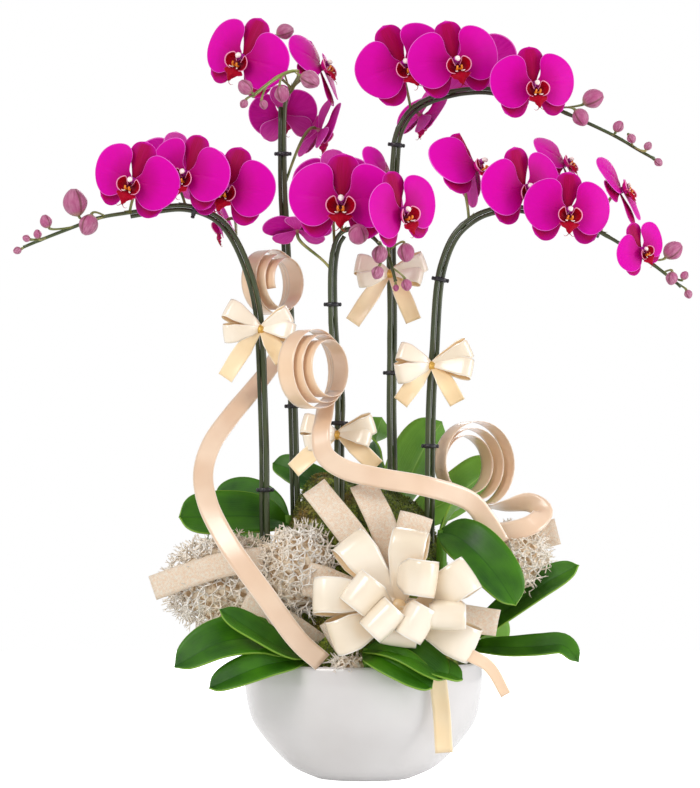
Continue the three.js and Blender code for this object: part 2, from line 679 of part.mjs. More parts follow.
// A full ribbon loop from a knot: out along its direction, round its end, and back beneath.
function loopGeometry(knot, degrees, forward, length, width, girth, turn, clear) {
  const flat = Math.cos(rad(forward));
  const way = V(Math.cos(rad(degrees)) * flat, -Math.sin(rad(forward)), Math.sin(rad(degrees)) * flat);
  const wide = way.clone().cross(AWAY).normalize().applyAxisAngle(way, rad(turn));
  const rise = wide.clone().cross(way).normalize();
  if (rise.y > 0) rise.negate();
  const far = length - girth;
  const shape = [[1, 1], [far, 1.02 * girth], [length, 0], [far, -0.98 * girth], [1, -1.4]];
  const points = shape.map(([s, h]) => knot.clone().addScaledVector(way, s).addScaledVector(rise, h));
  const narrow = (s) => width * (s === 0 || s === 1 ? 0.26 : 1);
  return band(points, points.map(() => wide), narrow, RIBBON_THICKNESS, clear);
}

// A ribbon tail from a knot: a gently bent strip with a cut end.
function tailGeometry(route, width, clear) {
  const points = smooth(route, 2);
  const along = tangents(points);
  const wide = along.map((t) => t.clone().cross(AWAY));
  const narrow = (s) => width * (0.25 + 0.75 * Math.min(1, s * 2));
  return band(points, wide, narrow, RIBBON_THICKNESS, clear);
}

// A short block with chamfered corners for the gathered middle of a bow.
function knotGeometry(middle, size, clear) {
  return new THREE.SphereGeometry(size + clear, 6, 3).translate(middle.x, middle.y, middle.z);
}

// Small ivory bows with a gold tie round stem and wire: the spike, the knot, and the loops as
// [angle, length, width] and the tails as end points.
const SMALL_BOWS = {
  small_bow_a: {
    spike: 'a',
    at: 3.4,
    loops: [[150, 44, 22], [190, 42, 20], [26, 36, 20], [-10, 38, 20]],
    tails: [[-150, -50, 434], [-88, -50, 452]],
  },
  small_bow_c: {
    spike: 'c',
    at: 2.15,
    loops: [[164, 40, 22], [196, 38, 18], [16, 42, 22], [-12, 38, 18]],
    tails: [[-76, -62, 334], [14, -60, 338]],
  },
  small_bow_d: {
    spike: 'd',
    at: 3.55,
    loops: [[166, 40, 22], [194, 38, 18], [18, 42, 22], [-10, 38, 18]],
    tails: [[-12, 34, 500], [56, 34, 502]],
  },
  small_bow_e: {
    spike: 'e',
    at: 2.75,
    loops: [[158, 40, 20], [196, 42, 22], [24, 46, 22], [-8, 46, 22]],
    tails: [[40, -36, 408], [102, -36, 408]],
  },
};

function smallBowSolid(name, clear) {
  const { spike, at, loops, tails } = SMALL_BOWS[name];
  const { side } = SPIKES[spike];
  const route = routeOf(spike);
  const i = Math.floor(at);
  const stem = route[i].clone().lerp(route[i + 1], at - i);
  const way = route[i + 1].clone().sub(route[i]).normalize();
  const out = way.clone().cross(AWAY).normalize().multiplyScalar(side);
  const centre = stem.clone().addScaledVector(out, 2.85);
  const knot = V(stem.x, stem.y - 10, stem.z);
  const upright = new THREE.Quaternion().setFromUnitVectors(UP, way);
  const block = (x, y, z) => solidOf(
    new THREE.BoxGeometry(x, y, z).applyQuaternion(upright).translate(centre.x, centre.y, centre.z),
  );
  const tie = geometryOf(block(15.6, 10.6, 4).subtract(block(12.8, 7.4, 12)));
  return join([
    knotGeometry(knot, 5, clear),
    ...(clear ? [] : [tie]),
    ...loops.map(([degrees, length, width], k) => (
      loopGeometry(knot, degrees, 10 + 5 * (k % 2), length, width, 7.5, 16 - 32 * (k % 2), clear)
    )),
    ...tails.map((end) => {
      const bend = [(knot.x + end[0]) / 2, Math.min(knot.y, end[1]) - 4, knot.z * 0.55 + end[2] * 0.45];
      return tailGeometry([knot.toArray(), bend, end], 19, clear);
    }),
  ]);
}

// Big satin bow at the front: loops as [angle, forward tilt, length, girth, turn, start].
const BOW_KNOT = V(36, -128, 190);
const SATIN_LOOPS = [
  [128, 2, 90, 17, 10, [0, 2, 0]], [80, 2, 82, 18, -8, [0, 2, 0]], [36, 20, 78, 17, -6, [16, 2, -6]],
  [334, 12, 88, 16, 6, [2, 2, -4]], [176, 14, 92, 16, 10, [0, 0, 6]], [204, 18, 76, 15, -8, [-4, 0, -4]],
  [352, 54, 56, 16, 0, [0, -2, 34]], [142, 40, 62, 16, 0, [-10, -2, -6]], [316, 70, 52, 15, 0, [-26, -2, -4]],
  [331, 66, 50, 15, 0, [6, -4, -8]], [270, 60, 48, 13, 0, [50, -4, 8]], [262, 34, 44, 13, 0, [4, 0, -2]],
];

function satinBowSolid(clear) {
  const knot = BOW_KNOT.toArray();
  const drop = tailGeometry([knot, [70, -122, 142], [80, -116, 92], [84, -113, 36]], 19, clear);
  const wisp = tailGeometry([knot, [100, -148, 146], [130, -140, 128], [148, -134, 98]], 16, clear);
  return join([
    knotGeometry(BOW_KNOT, 11, clear),
    ...SATIN_LOOPS.map(([degrees, forward, length, girth, turn, start]) => {
      const from = BOW_KNOT.clone().add(V(...start));
      return loopGeometry(from, degrees, forward, length, SATIN_WIDTH, girth, turn, clear);
    }),
    drop, wisp,
  ]);
}

// Open-weave burlap: a bow behind the satin one, and three cut tails laid over the moss.
const BURLAP_KNOT = V(30, -100, 196);
const BURLAP_TAILS = {
  burlap_left: {
    route: [[-108, -86, 239], [-150, -84, 233], [-190, -80, 221], [-226, -78, 208]],
    across: [0.35, 0.1, 1],
    width: 27,
  },
  burlap_front: {
    route: [[-126, -92, 198], [-98, -99, 182], [-70, -99, 164], [-42, -84, 143]],
    across: [0.7, -0.3, 1],
    width: 26,
  },
  burlap_right: {
    route: [[98, -14, 260], [124, 6, 263], [164, 16, 256], [214, 12, 268]],
    across: [-0.2, 0.3, 1],
    width: 30,
  },
};

function burlapTailGeometry(name, clear) {
  const { route, across, width } = BURLAP_TAILS[name];
  const points = smooth(route, 5);
  return band(points, points.map(() => V(...across)), width, BURLAP_THICKNESS, clear);
}

function burlapBowSolid(clear) {
  const loops = [[74, -4, 94], [166, 2, 96], [212, 4, 80]].map(([degrees, forward, length]) => (
    loopGeometry(BURLAP_KNOT, degrees, forward, length, BURLAP_WIDTH * 1.2, 9, 0, clear)
  ));
  const tails = [
    [[30, -100, 196], [-2, -102, 250], [-54, -92, 316]],
    [[30, -100, 196], [24, -98, 262], [-2, -86, 320]],
    [[30, -100, 196], [86, -106, 180], [142, -100, 172]],
  ].map((route) => tailGeometry(route, BURLAP_WIDTH, clear));
  return join([knotGeometry(BURLAP_KNOT, 8, clear), ...loops, ...tails]);
}

// Bleached lace lichen: small cores with stiff twigs standing out all over them, each lobe as
// [middle, radii, twigs].
const LACE = {
  lace_left: [[[-146, -44, 212], [66, 42, 52], 15], [[-68, -82, 226], [42, 34, 48], 12]],
  lace_right: [[[166, -4, 236], [36, 32, 38], 13]],
  lace_front: [[[-14, -112, 126], [22, 11, 11], 8]],
};

function laceSolid(name, seed) {
  const random = seeded(seed);
  return join(LACE[name].flatMap(([middle, radii, twigs]) => {
    const centre = V(...middle);
    const core = new THREE.SphereGeometry(1, 7, 5).rotateX(Math.PI / 2).scale(...radii)
      .translate(...middle);
    const shoots = Array.from({ length: twigs }, (_, i) => {
      const z = 1 - (2 * i + 1) / twigs;
      const a = i * 2.4 + random();
      const flat = Math.sqrt(1 - z * z);
      const d = V(flat * Math.cos(a), flat * Math.sin(a), z);
      const start = centre.clone().add(V(d.x * radii[0], d.y * radii[1], d.z * radii[2]).multiplyScalar(0.8));
      const bend = V(random() - 0.5, random() - 0.5, random() - 0.5).multiplyScalar(0.9);
      const end = start.clone().addScaledVector(d.clone().add(bend).normalize(), 14 + 8 * random());
      return loft([ringAt(start, d, 1.7, 3), [end]]);
    });
    return [core, ...shoots];
  }));
}

function colour(hex, roughness) {
  return new THREE.MeshStandardMaterial({ color: hex, roughness, metalness: 0 });
}

const CERAMIC = colour(0xf2f1f0, 0.15);
const BARK = colour(0x5a4030, 0.95);
const MOSS = colour(0x5d7a1e, 0.95);
const LICHEN = colour(0xece3cf, 0.85);
const LEAF = colour(0x1f6b1c, 0.35);
const STEM = colour(0x2f4a22, 0.4);
const WIRE = colour(0x1d3a1c, 0.4);
const MAGENTA = colour(0xc80a9c, 0.45);
const IVORY = colour(0xf6efdc, 0.35);
const PEACH = colour(0xf2cfa8, 0.4);
const BURLAP = colour(0xd9bd9a, 0.9);

const plant = new THREE.Group();

function place(name, solid, material) {
  const geometry = solid.isBufferGeometry ? solid : geometryOf(solid);
  const mesh = new THREE.Mesh(geometry, material);
  mesh.name = name;
  plant.add(mesh);
  return mesh;
}

place('pot', potGeometry(), CERAMIC);

for (const name of Object.keys(SPIKES)) {
  place(`spike_${name}`, spikeSolid(name, 0), STEM);
  place(`stake_${name}`, stakeSolid(name, 0), WIRE);
}
for (const [name, row] of Object.entries(BLOOMS)) {
  const bloom = place(name, bloomSolid(row[8], row[9]), MAGENTA);
  bloom.position.set(row[2], row[3], row[4]);
  bloom.rotation.copy(bloomTurn(row));
}
for (const name of Object.keys(LEAVES)) place(name, leavesSolid(name, 0), LEAF);
for (const name of Object.keys(RIBBONS)) place(name, ribbonGeometry(name, 0), PEACH);
for (const name of Object.keys(SMALL_BOWS)) place(name, smallBowSolid(name, 0), IVORY);
for (const name of Object.keys(BURLAP_TAILS)) place(name, burlapTailGeometry(name, 0), BURLAP);
place('satin_bow', satinBowSolid(0), IVORY);
place('burlap_bow', burlapBowSolid(0), BURLAP);

// What the soft fillings give way to, each a little larger than the piece itself.
const firm = [
  ...Object.keys(SPIKES).flatMap((name) => [spikeSolid(name, GAP + 0.1), stakeSolid(name, GAP + 0.1)]),
  ...Object.keys(LEAVES).map((name) => leavesSolid(name, GAP)),
  ...Object.keys(RIBBONS).map((name) => solidOf(ribbonGeometry(name, GAP))),
  ...Object.keys(BURLAP_TAILS).map((name) => solidOf(burlapTailGeometry(name, GAP))),
  satinBowSolid(GAP),
  burlapBowSolid(GAP),
];
const clearOf = (solid, others) => mainBody(others.reduce((left, other) => left.subtract(other), solid));

place('growing_medium', clearOf(solidOf(mediumGeometry()), firm), BARK);
place('moss_mound', clearOf(solidOf(moundGeometry(0)), firm), MOSS);
const settled = [
  solidOf(moundGeometry(GAP)), solidOf(potGeometry()), solidOf(mediumGeometry()).translate(0, 0, GAP),
];
Object.keys(LACE).forEach((name, i) => {
  const lace = clearOf(laceSolid(name, 11 + 7 * i), [...firm, ...settled]);
  place(name, lace, LICHEN);
});

export default plant;
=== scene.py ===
# Potted moth orchid: five flower spikes on wires in a low round bowl, dressed with moss, lace
# lichen, ribbon and bows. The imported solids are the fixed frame, in metres; the sections below
# follow the arrangement as it is put together, from the bowl up to the blooms and bows.
import math
import random

import bmesh
import bpy
from mathutils import Matrix, Vector, noise
from mathutils.bvhtree import BVHTree
from mathutils.kdtree import KDTree


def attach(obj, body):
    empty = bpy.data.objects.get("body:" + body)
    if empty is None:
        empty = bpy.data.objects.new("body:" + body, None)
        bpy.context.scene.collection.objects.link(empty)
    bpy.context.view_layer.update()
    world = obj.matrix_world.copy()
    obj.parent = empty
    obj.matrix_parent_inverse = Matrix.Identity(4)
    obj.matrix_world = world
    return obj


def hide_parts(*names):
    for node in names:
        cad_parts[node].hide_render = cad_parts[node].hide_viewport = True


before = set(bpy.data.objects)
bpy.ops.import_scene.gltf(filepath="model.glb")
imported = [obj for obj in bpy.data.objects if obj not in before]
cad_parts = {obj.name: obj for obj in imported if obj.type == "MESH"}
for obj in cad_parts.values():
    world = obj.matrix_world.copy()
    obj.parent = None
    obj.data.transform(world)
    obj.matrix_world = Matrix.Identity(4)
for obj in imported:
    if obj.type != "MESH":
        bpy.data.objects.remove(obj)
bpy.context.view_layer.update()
bpy.ops.object.select_all(action="DESELECT")

# The studio: a camera level with the foliage, looking slightly up as the photograph does, a pale
# floor that runs out of sight, and soft light from three large boxes, the strongest at the upper
# left.
CAMERA_PLACE = Vector((-0.015, -3.0, 0.287))
CAMERA_AIM = Vector((-0.015, 0.0, 0.419))
bpy.ops.object.camera_add(location=CAMERA_PLACE)
camera = bpy.context.object
camera.rotation_euler = (CAMERA_AIM - CAMERA_PLACE).to_track_quat("-Z", "Y").to_euler()
camera.data.sensor_width = 36
camera.data.lens = 124.7
camera.data.clip_end = 60
bpy.context.scene.camera = camera
bpy.context.scene.view_settings.view_transform = "Standard"


def soft_box(name, place, size, power, tint):
    bpy.ops.object.light_add(type="AREA", location=place)
    lamp = bpy.context.object
    lamp.name = name
    lamp.data.shape = "RECTANGLE"
    lamp.data.size, lamp.data.size_y = size
    lamp.data.energy = power
    lamp.data.color = tint
    lamp.rotation_euler = (Vector((0, 0, 0.42)) - Vector(place)).to_track_quat("-Z", "Y").to_euler()


soft_box("key_box", (-1.7, -2.2, 2.2), (1.5, 1.5), 46, (1, 0.99, 0.97))
soft_box("fill_box", (2.5, -0.8, 0.7), (1.2, 1.6), 36, (0.98, 0.98, 1))
soft_box("back_box", (0.6, 2.4, 1.9), (1.6, 1.2), 26, (1, 1, 1))

world = bpy.data.worlds.new("studio")
bpy.context.scene.world = world
world.use_nodes = True
backdrop = world.node_tree.nodes["Background"]
ray = world.node_tree.nodes.new("ShaderNodeLightPath")
shade = world.node_tree.nodes.new("ShaderNodeMix")
shade.data_type = "RGBA"
shade.inputs["A"].default_value = (0.62, 0.62, 0.63, 1)
shade.inputs["B"].default_value = (1, 1, 1, 1)
world.node_tree.links.new(ray.outputs["Is Camera Ray"], shade.inputs["Factor"])
world.node_tree.links.new(shade.outputs["Result"], backdrop.inputs["Color"])

bpy.ops.mesh.primitive_circle_add(vertices=96, radius=2.8, fill_type="NGON", location=(0, 0, -0.0005))
floor = bpy.context.object
floor.name = "floor"
paper = bpy.data.materials.new("floor_paper")
paper.use_nodes = True
paper_nodes = paper.node_tree.nodes
paper_nodes["Principled BSDF"].inputs["Base Color"].default_value = (0.75, 0.75, 0.75, 1)
paper_nodes["Principled BSDF"].inputs["Roughness"].default_value = 0.8
paper_nodes["Principled BSDF"].inputs["Emission Color"].default_value = (1, 1, 1, 1)
ray = paper_nodes.new("ShaderNodeLightPath")
glow = paper_nodes.new("ShaderNodeMath")
glow.operation = "ADD"
glow.inputs[1].default_value = 0.25
paper.node_tree.links.new(ray.outputs["Is Camera Ray"], glow.inputs[0])
paper.node_tree.links.new(glow.outputs[0], paper_nodes["Principled BSDF"].inputs["Emission Strength"])
floor.data.materials.append(paper)

# The bowl: white earthenware turned on a wheel, glossy glaze inside and out, a narrow flat foot,
# full sides that draw in a little under a rolled lip. It stands on its foot. Shapes are drawn in
# millimetres and made in metres.
MM = 0.001
POT_OUTLINE = [
    (52, 0), (73, 9), (88, 20), (108, 42), (123, 65), (130, 98), (129, 121), (126.5, 126),
    (123.5, 124), (122.5, 108), (115, 66), (101, 46), (79, 24), (0, 14),
]
LIP = 7


def smooth(points, steps):
    """A smooth curve through hand-set points, with equal steps between each two."""
    points = [Vector(p) for p in points]
    ends = [2 * points[0] - points[1], *points, 2 * points[-1] - points[-2]]
    curve = []
    for i in range(1, len(ends) - 2):
        a, b, c, d = ends[i - 1: i + 3]
        for k in range(steps):
            t = k / steps
            curve.append(b + 0.5 * t * (c - a) + t * t * (a - 2.5 * b + 2 * c - 0.5 * d)
                         + t * t * t * (-0.5 * a + 1.5 * b - 1.5 * c + 0.5 * d))
    return [*curve, points[-1]]


def select_only(piece):
    bpy.ops.object.select_all(action="DESELECT")
    piece.select_set(True)
    bpy.context.view_layer.objects.active = piece


def dress(piece, slot, *nodes):
    """The piece rides on the part's one body and stands for its solids."""
    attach(piece, "root")
    if nodes:
        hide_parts(*nodes)


def material(name, roughness, **sockets):
    """A material with its even values on the shader's own sockets; returns it with its shader."""
    made = bpy.data.materials.new(name)
    made.use_nodes = True
    shader = made.node_tree.nodes["Principled BSDF"]
    shader.inputs["Roughness"].default_value = roughness
    for socket, value in sockets.items():
        shader.inputs[socket.replace("_", " ")].default_value = value
    return made, shader


def link(made, output, socket):
    """Joins two sockets in a material or a node group."""
    getattr(made, "node_tree", made).links.new(output, socket)


def node(made, kind, values=None, **settings):
    """A new node, with the named settings and the input values or links by name or place."""
    made_node = getattr(made, "node_tree", made).nodes.new(kind)
    for key, value in settings.items():
        setattr(made_node, key, value)
    for key, value in (values or {}).items():
        if isinstance(value, bpy.types.NodeSocket):
            link(made, value, made_node.inputs[key])
        else:
            made_node.inputs[key].default_value = value
    return made_node


def new_group(label, place, numbers, output):
    """A node group that turns a place and some numbers into one number; returns it with its input
    and output nodes."""
    group = bpy.data.node_groups.new(label, "ShaderNodeTree")
    group.interface.new_socket(place, in_out="INPUT", socket_type="NodeSocketVector")
    for number in numbers:
        group.interface.new_socket(number, in_out="INPUT", socket_type="NodeSocketFloat")
    group.interface.new_socket(output, in_out="OUTPUT", socket_type="NodeSocketFloat")
    return group, node(group, "NodeGroupInput"), node(group, "NodeGroupOutput")


def paint(made, shader, colour):
    link(made, colour, shader.inputs["Base Color"])


def maths(made, operation, *values):
    return node(made, "ShaderNodeMath", dict(enumerate(values)), operation=operation).outputs[0]


def blend_of(made, mask, one, two):
    """A colour between two, by a mask."""
    mix = node(made, "ShaderNodeMix", data_type="RGBA")
    for socket, value in ((mix.inputs["Factor"], mask), (mix.inputs["A"], one), (mix.inputs["B"], two)):
        if isinstance(value, bpy.types.NodeSocket):
            link(made, value, socket)
        elif isinstance(value, (int, float)):
            socket.default_value = value
        else:
            socket.default_value = (*value, 1)
    return mix.outputs["Result"]


def ramp(made, value, *stops):
    """A grey ramp of (place, value) stops."""
    made_node = node(made, "ShaderNodeValToRGB", {0: value})
    elements = made_node.color_ramp.elements
    while len(elements) < len(stops):
        elements.new(0.5)
    for element, (place, level) in zip(elements, stops):
        element.position = place
        element.color = (level, level, level, 1)
    return made_node.outputs["Color"]


def bump(made, height, strength, distance, shader):
    raised = node(made, "ShaderNodeBump", {"Height": height, "Strength": strength, "Distance": distance})
    link(made, raised.outputs["Normal"], shader.inputs["Normal"])


CLOUDS, given, out = new_group("clouds", "Place", ("Scale", "Detail"), "Cloud")
grain = node(CLOUDS, "ShaderNodeTexNoise", {
    "Vector": given.outputs["Place"], "Scale": given.outputs["Scale"], "Detail": given.outputs["Detail"]})
link(CLOUDS, grain.outputs["Fac"], out.inputs["Cloud"])


def cloudy(made, scale, detail=4):
    """A soft noise over the piece."""
    place = node(made, "ShaderNodeTexCoord").outputs["Object"]
    values = {"Place": place, "Scale": scale, "Detail": detail}
    return node(made, "ShaderNodeGroup", values, node_tree=CLOUDS).outputs["Cloud"]


def plain_finish(label, roughness, dark, light, scale, span=(0.38, 0.62), detail=2, **sockets):
    """A finish that varies softly between two colours."""
    finish, shader = material(label, roughness, **sockets)
    tone = ramp(finish, cloudy(finish, scale, detail), (span[0], 0), (span[1], 1))
    paint(finish, shader, blend_of(finish, tone, dark, light))
    return finish


outer = [Vector((r, 0, z)) for r, z in POT_OUTLINE]
side = [Vector((0, 0, 0)), Vector((51, 0, 0)), *smooth(outer[:LIP + 1], 6), *smooth(outer[LIP + 1:], 4)]
profile = bpy.data.meshes.new("bowl")
profile.from_pydata([p * MM for p in side], [(i, i + 1) for i in range(len(side) - 1)], [])
bowl = bpy.data.objects.new("bowl", profile)
bpy.context.collection.objects.link(bowl)
select_only(bowl)
bpy.ops.object.mode_set(mode="EDIT")
bpy.ops.mesh.select_all(action="SELECT")
bpy.ops.mesh.spin(steps=96, angle=2 * math.pi, center=(0, 0, 0), axis=(0, 0, 1))
bpy.ops.mesh.select_all(action="SELECT")
bpy.ops.mesh.remove_doubles(threshold=1e-6)
bpy.ops.mesh.normals_make_consistent(inside=False)
bpy.ops.object.mode_set(mode="OBJECT")
bpy.ops.object.shade_smooth_by_angle(angle=math.radians(35))

glaze, shader = material("white_glaze", 0.16, Coat_Weight=0.6, Coat_Roughness=0.05)
pooled = ramp(glaze, cloudy(glaze, 9), (0.35, 0), (0.75, 1))
paint(glaze, shader, blend_of(glaze, pooled, (0.65, 0.625, 0.615), (0.71, 0.695, 0.69)))
link(glaze, ramp(glaze, cloudy(glaze, 30), (0.3, 0.12), (0.8, 0.24)), shader.inputs["Roughness"])
bump(glaze, cloudy(glaze, 60, 1), 0.04, 0.0006, shader)
bowl.data.materials.append(glaze)
dress(bowl, "ceramic", "pot")

# Bark medium: chips of fir bark round the roots, up to just under the lip of the bowl. It shows
# only in the gaps between the moss and the lip, so its solid stays, in a rough bark finish.
bark, shader = material("bark_chips", 0.95)
place = node(bark, "ShaderNodeTexCoord").outputs["Object"]
chips = node(bark, "ShaderNodeTexVoronoi", {"Vector": place, "Scale": 160})
paint(bark, shader, blend_of(bark, chips.outputs["Color"], (0.05, 0.028, 0.014), (0.24, 0.14, 0.07)))
bump(bark, chips.outputs["Distance"], 0.9, 0.004, shader)
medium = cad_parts["growing_medium"]
medium.data.materials.clear()
medium.data.materials.append(bark)

# Moss: a dome of dried green moss packed over the root balls and foam, golden and brown in
# patches. Its cushion is one skin, and small sprigs of bent leaflets stand out all over it.
MOSS_RADIUS, MOSS_HEIGHT, MOSS_FOOT, MOSS_CENTRE_Y = 112, 185, 116.3, 5
SPRIGS = 9000
LEAFLETS = 5
FIFTH_TURN = 1.2566


def moss_top(r, angle):
    relief = 1 + 0.025 * math.sin(5 * angle) + 0.02 * math.cos(9 * angle + r / 14)
    rise = 31 * math.exp(-((r * math.cos(angle) + 58) ** 2 + (r * math.sin(angle)) ** 2) / 1800)
    return MOSS_FOOT + 2 + (MOSS_HEIGHT * relief + rise) * (1 - (r / MOSS_RADIUS) ** 4)


def moss_point(r, angle):
    return Vector((r * math.cos(angle), MOSS_CENTRE_Y + r * math.sin(angle), moss_top(r, angle)))


def mesh_piece(name, points, faces, finish):
    """A smooth-shaded piece from points and faces in metres."""
    mesh = bpy.data.meshes.new(name)
    mesh.from_pydata([tuple(p) for p in points], [], faces)
    mesh.materials.append(finish)
    mesh.polygons.foreach_set("use_smooth", [True] * len(mesh.polygons))
    mesh.update()
    piece = bpy.data.objects.new(name, mesh)
    bpy.context.collection.objects.link(piece)
    return piece


moss, shader = material("dry_moss", 0.9, Sheen_Weight=0.25)
patches = ramp(moss, cloudy(moss, 22, 3), (0.52, 0), (0.70, 1))
fine = ramp(moss, cloudy(moss, 260, 2), (0.34, 0), (0.66, 1))
green = blend_of(moss, fine, (0.03, 0.06, 0.005), (0.30, 0.38, 0.03))
golden = blend_of(moss, fine, (0.13, 0.065, 0.012), (0.42, 0.27, 0.05))
paint(moss, shader, blend_of(moss, patches, green, golden))
bump(moss, cloudy(moss, 400, 3), 0.6, 0.002, shader)

SPOKES, RINGS = 72, 26
points, faces = [], []
for i in range(RINGS):
    share = (i + 1) / RINGS
    for j in range(SPOKES):
        angle = 2 * math.pi * j / SPOKES
        p = moss_point(MOSS_RADIUS * share ** 0.7, angle)
        lump = noise.noise(p * 0.05) * 2.5 + noise.noise(p * 0.16) * 1.5
        out = Vector((math.cos(angle), math.sin(angle), 0.6)).normalized()
        points.append((p + out * (lump - 1.5)) * MM)
        if i + 1 < RINGS:
            k = (j + 1) % SPOKES
            a, b = i * SPOKES, (i + 1) * SPOKES
            faces.append((a + j, b + j, b + k, a + k))
faces.append(tuple(range(SPOKES)))
foot_ring = (RINGS - 1) * SPOKES
faces.append(tuple(foot_ring + j for j in reversed(range(SPOKES))))
rng = random.Random(4)
for _ in range(SPRIGS):
    r = MOSS_RADIUS * rng.random() ** 0.42
    angle = rng.uniform(0, 2 * math.pi)
    root = moss_point(r, angle)
    steep = min(1, (r / MOSS_RADIUS) ** 3 * 2.2)
    normal = Vector((math.cos(angle) * steep, math.sin(angle) * steep, 1.15 - steep)).normalized()
    lean = normal.orthogonal().normalized()
    spin = rng.uniform(0, 2 * math.pi)
    size = rng.uniform(3.2, 6.5)
    for k in range(LEAFLETS):
        way = Matrix.Rotation(spin + FIFTH_TURN * k, 3, normal) @ lean
        tip = root + (normal * rng.uniform(0.5, 1.1) + way * 0.8).normalized() * size
        wide = normal.cross(way) * 0.55
        middle = root.lerp(tip, 0.5) + normal * 0.35
        n = len(points)
        points += [root * MM, (middle - wide) * MM, tip * MM, (middle + wide) * MM]
        faces.append((n, n + 1, n + 2, n + 3))
moss_dome = mesh_piece("moss_dome", points, faces, moss)
dress(moss_dome, "moss", "moss_mound")

# Flower spikes: smooth green stems, one from each plant, tied upright to a wire and left to arch.
# Along the arch stand the flower stalks, and at the tip the last buds, mauve with three seams.
# side is the wire's side of the stem, staked the last point that it reaches, ties the clips'
# places on the route. Buds: place on the route, centre, radius, direction and tilt. Blooms: spike,
# place on its route, centre, yaw, pitch, roll, width and how far the petals fold back.
SPIKES = {
    "a": {
        "route": [
            (-88, -25, 130), (-104, -30, 248), (-106, -30, 357), (-110, -34, 471), (-114, -39, 515),
            (-124, -43, 553), (-138, -45, 585), (-154, -46, 606), (-173, -46, 617), (-194, -46, 622),
            (-216, -46, 621), (-254, -50, 614), (-286, -53, 608), (-318, -56, 596), (-350, -59, 583),
            (-368, -61, 575),
        ],
        "side": 1, "staked": 11, "ties": (1.6, 8.5),
        "buds": [
            (12, -310, -68, 622, 14, 100), (12, -298, -66, 600, 11, 250), (13, -342, -68, 602, 7, 110),
            (14, -351, -70, 588, 4.8, 100), (14, -363, -70, 584, 4.2, 160), (15, -374, -62, 572, 4.4, 200),
        ],
    },
    "b": {
        "route": [
            (-70, 38, 130), (-73, 43, 275), (-76, 44, 397), (-80, 45, 503), (-84, 44, 582),
            (-88, 42, 655), (-88, 38, 742), (-80, 34, 762), (-72, 18, 774), (-76, -12, 775),
            (-92, -37, 765), (-109, -52, 750), (-121, -59, 739),
        ],
        "side": 1, "staked": 6, "ties": (2.1, 5.4),
        "buds": [
            (12, -127, -68, 748, 8.4, 135), (12, -130, -64, 731, 4.8, 240), (11, -109, -62, 730, 4.8, 290),
            (10, -90, -46, 744, 8.6, 280), (9, -60, -34, 761, 10.5, 330), (7, -88, 31, 825, 9.3, 15),
        ],
    },
    "c": {
        "route": [
            (-24, -38, 130), (-28, -45, 257), (-29, -45, 367), (-28, -45, 413), (-34, -45, 470),
            (-36, -46, 510), (-36, -48, 552), (-32, -50, 578), (-24, -52, 592), (-8, -56, 596),
            (7, -60, 588), (17, -64, 578), (26, -68, 566), (31, -72, 549), (34, -74, 537),
        ],
        "side": -1, "staked": 8, "ties": (2.4, 5.1),
        "buds": [
            (9, -5, -106, 584, 11.3, 90, 50), (11, 16, -84, 566, 9.2, 260), (12, 44, -82, 568, 9.8, 275),
            (12, 14, -86, 546, 7, 250), (13, 45, -80, 533, 6.2, 280), (14, 34, -76, 530, 3.6, 270),
        ],
    },
    "d": {
        "route": [
            (26, 42, 130), (30, 50, 314), (29, 50, 406), (30, 50, 503), (29, 50, 600), (34, 48, 692),
            (36, 47, 710), (42, 45, 725), (53, 42, 740), (71, 39, 751), (90, 35, 757), (114, 30, 761),
            (144, 24, 760), (185, 16, 748), (218, 10, 734), (251, 4, 718), (280, 0, 703), (302, -4, 689),
            (320, -8, 678),
        ],
        "side": -1, "staked": 13, "ties": (2.4, 5.5),
        "buds": [
            (14, 253, -4, 744, 11.3, 25), (14, 238, -8, 724, 9.6, 300), (16, 281, -8, 713, 6.4, 60),
            (17, 294, -12, 700, 5.3, 300), (17, 313, -12, 691, 4.8, 60), (18, 324, -8, 674, 4.8, 320),
        ],
    },
    "e": {
        "route": [
            (64, -16, 130), (69, -20, 266), (71, -20, 402), (75, -20, 466), (79, -20, 530),
            (86, -20, 565), (98, -21, 592), (115, -22, 609), (134, -23, 619), (158, -24, 623),
            (184, -25, 621), (225, -28, 609), (259, -30, 594), (286, -32, 578), (312, -35, 561),
            (330, -37, 547), (345, -40, 534),
        ],
        "side": -1, "staked": 12, "ties": (1.7, 4.4),
        "buds": [
            (14, 336, -44, 572, 10.6, 40), (15, 333, -50, 543, 7, 260), (15, 348, -48, 545, 4.8, 60),
            (16, 352, -42, 526, 4.8, 290),
        ],
    },
}
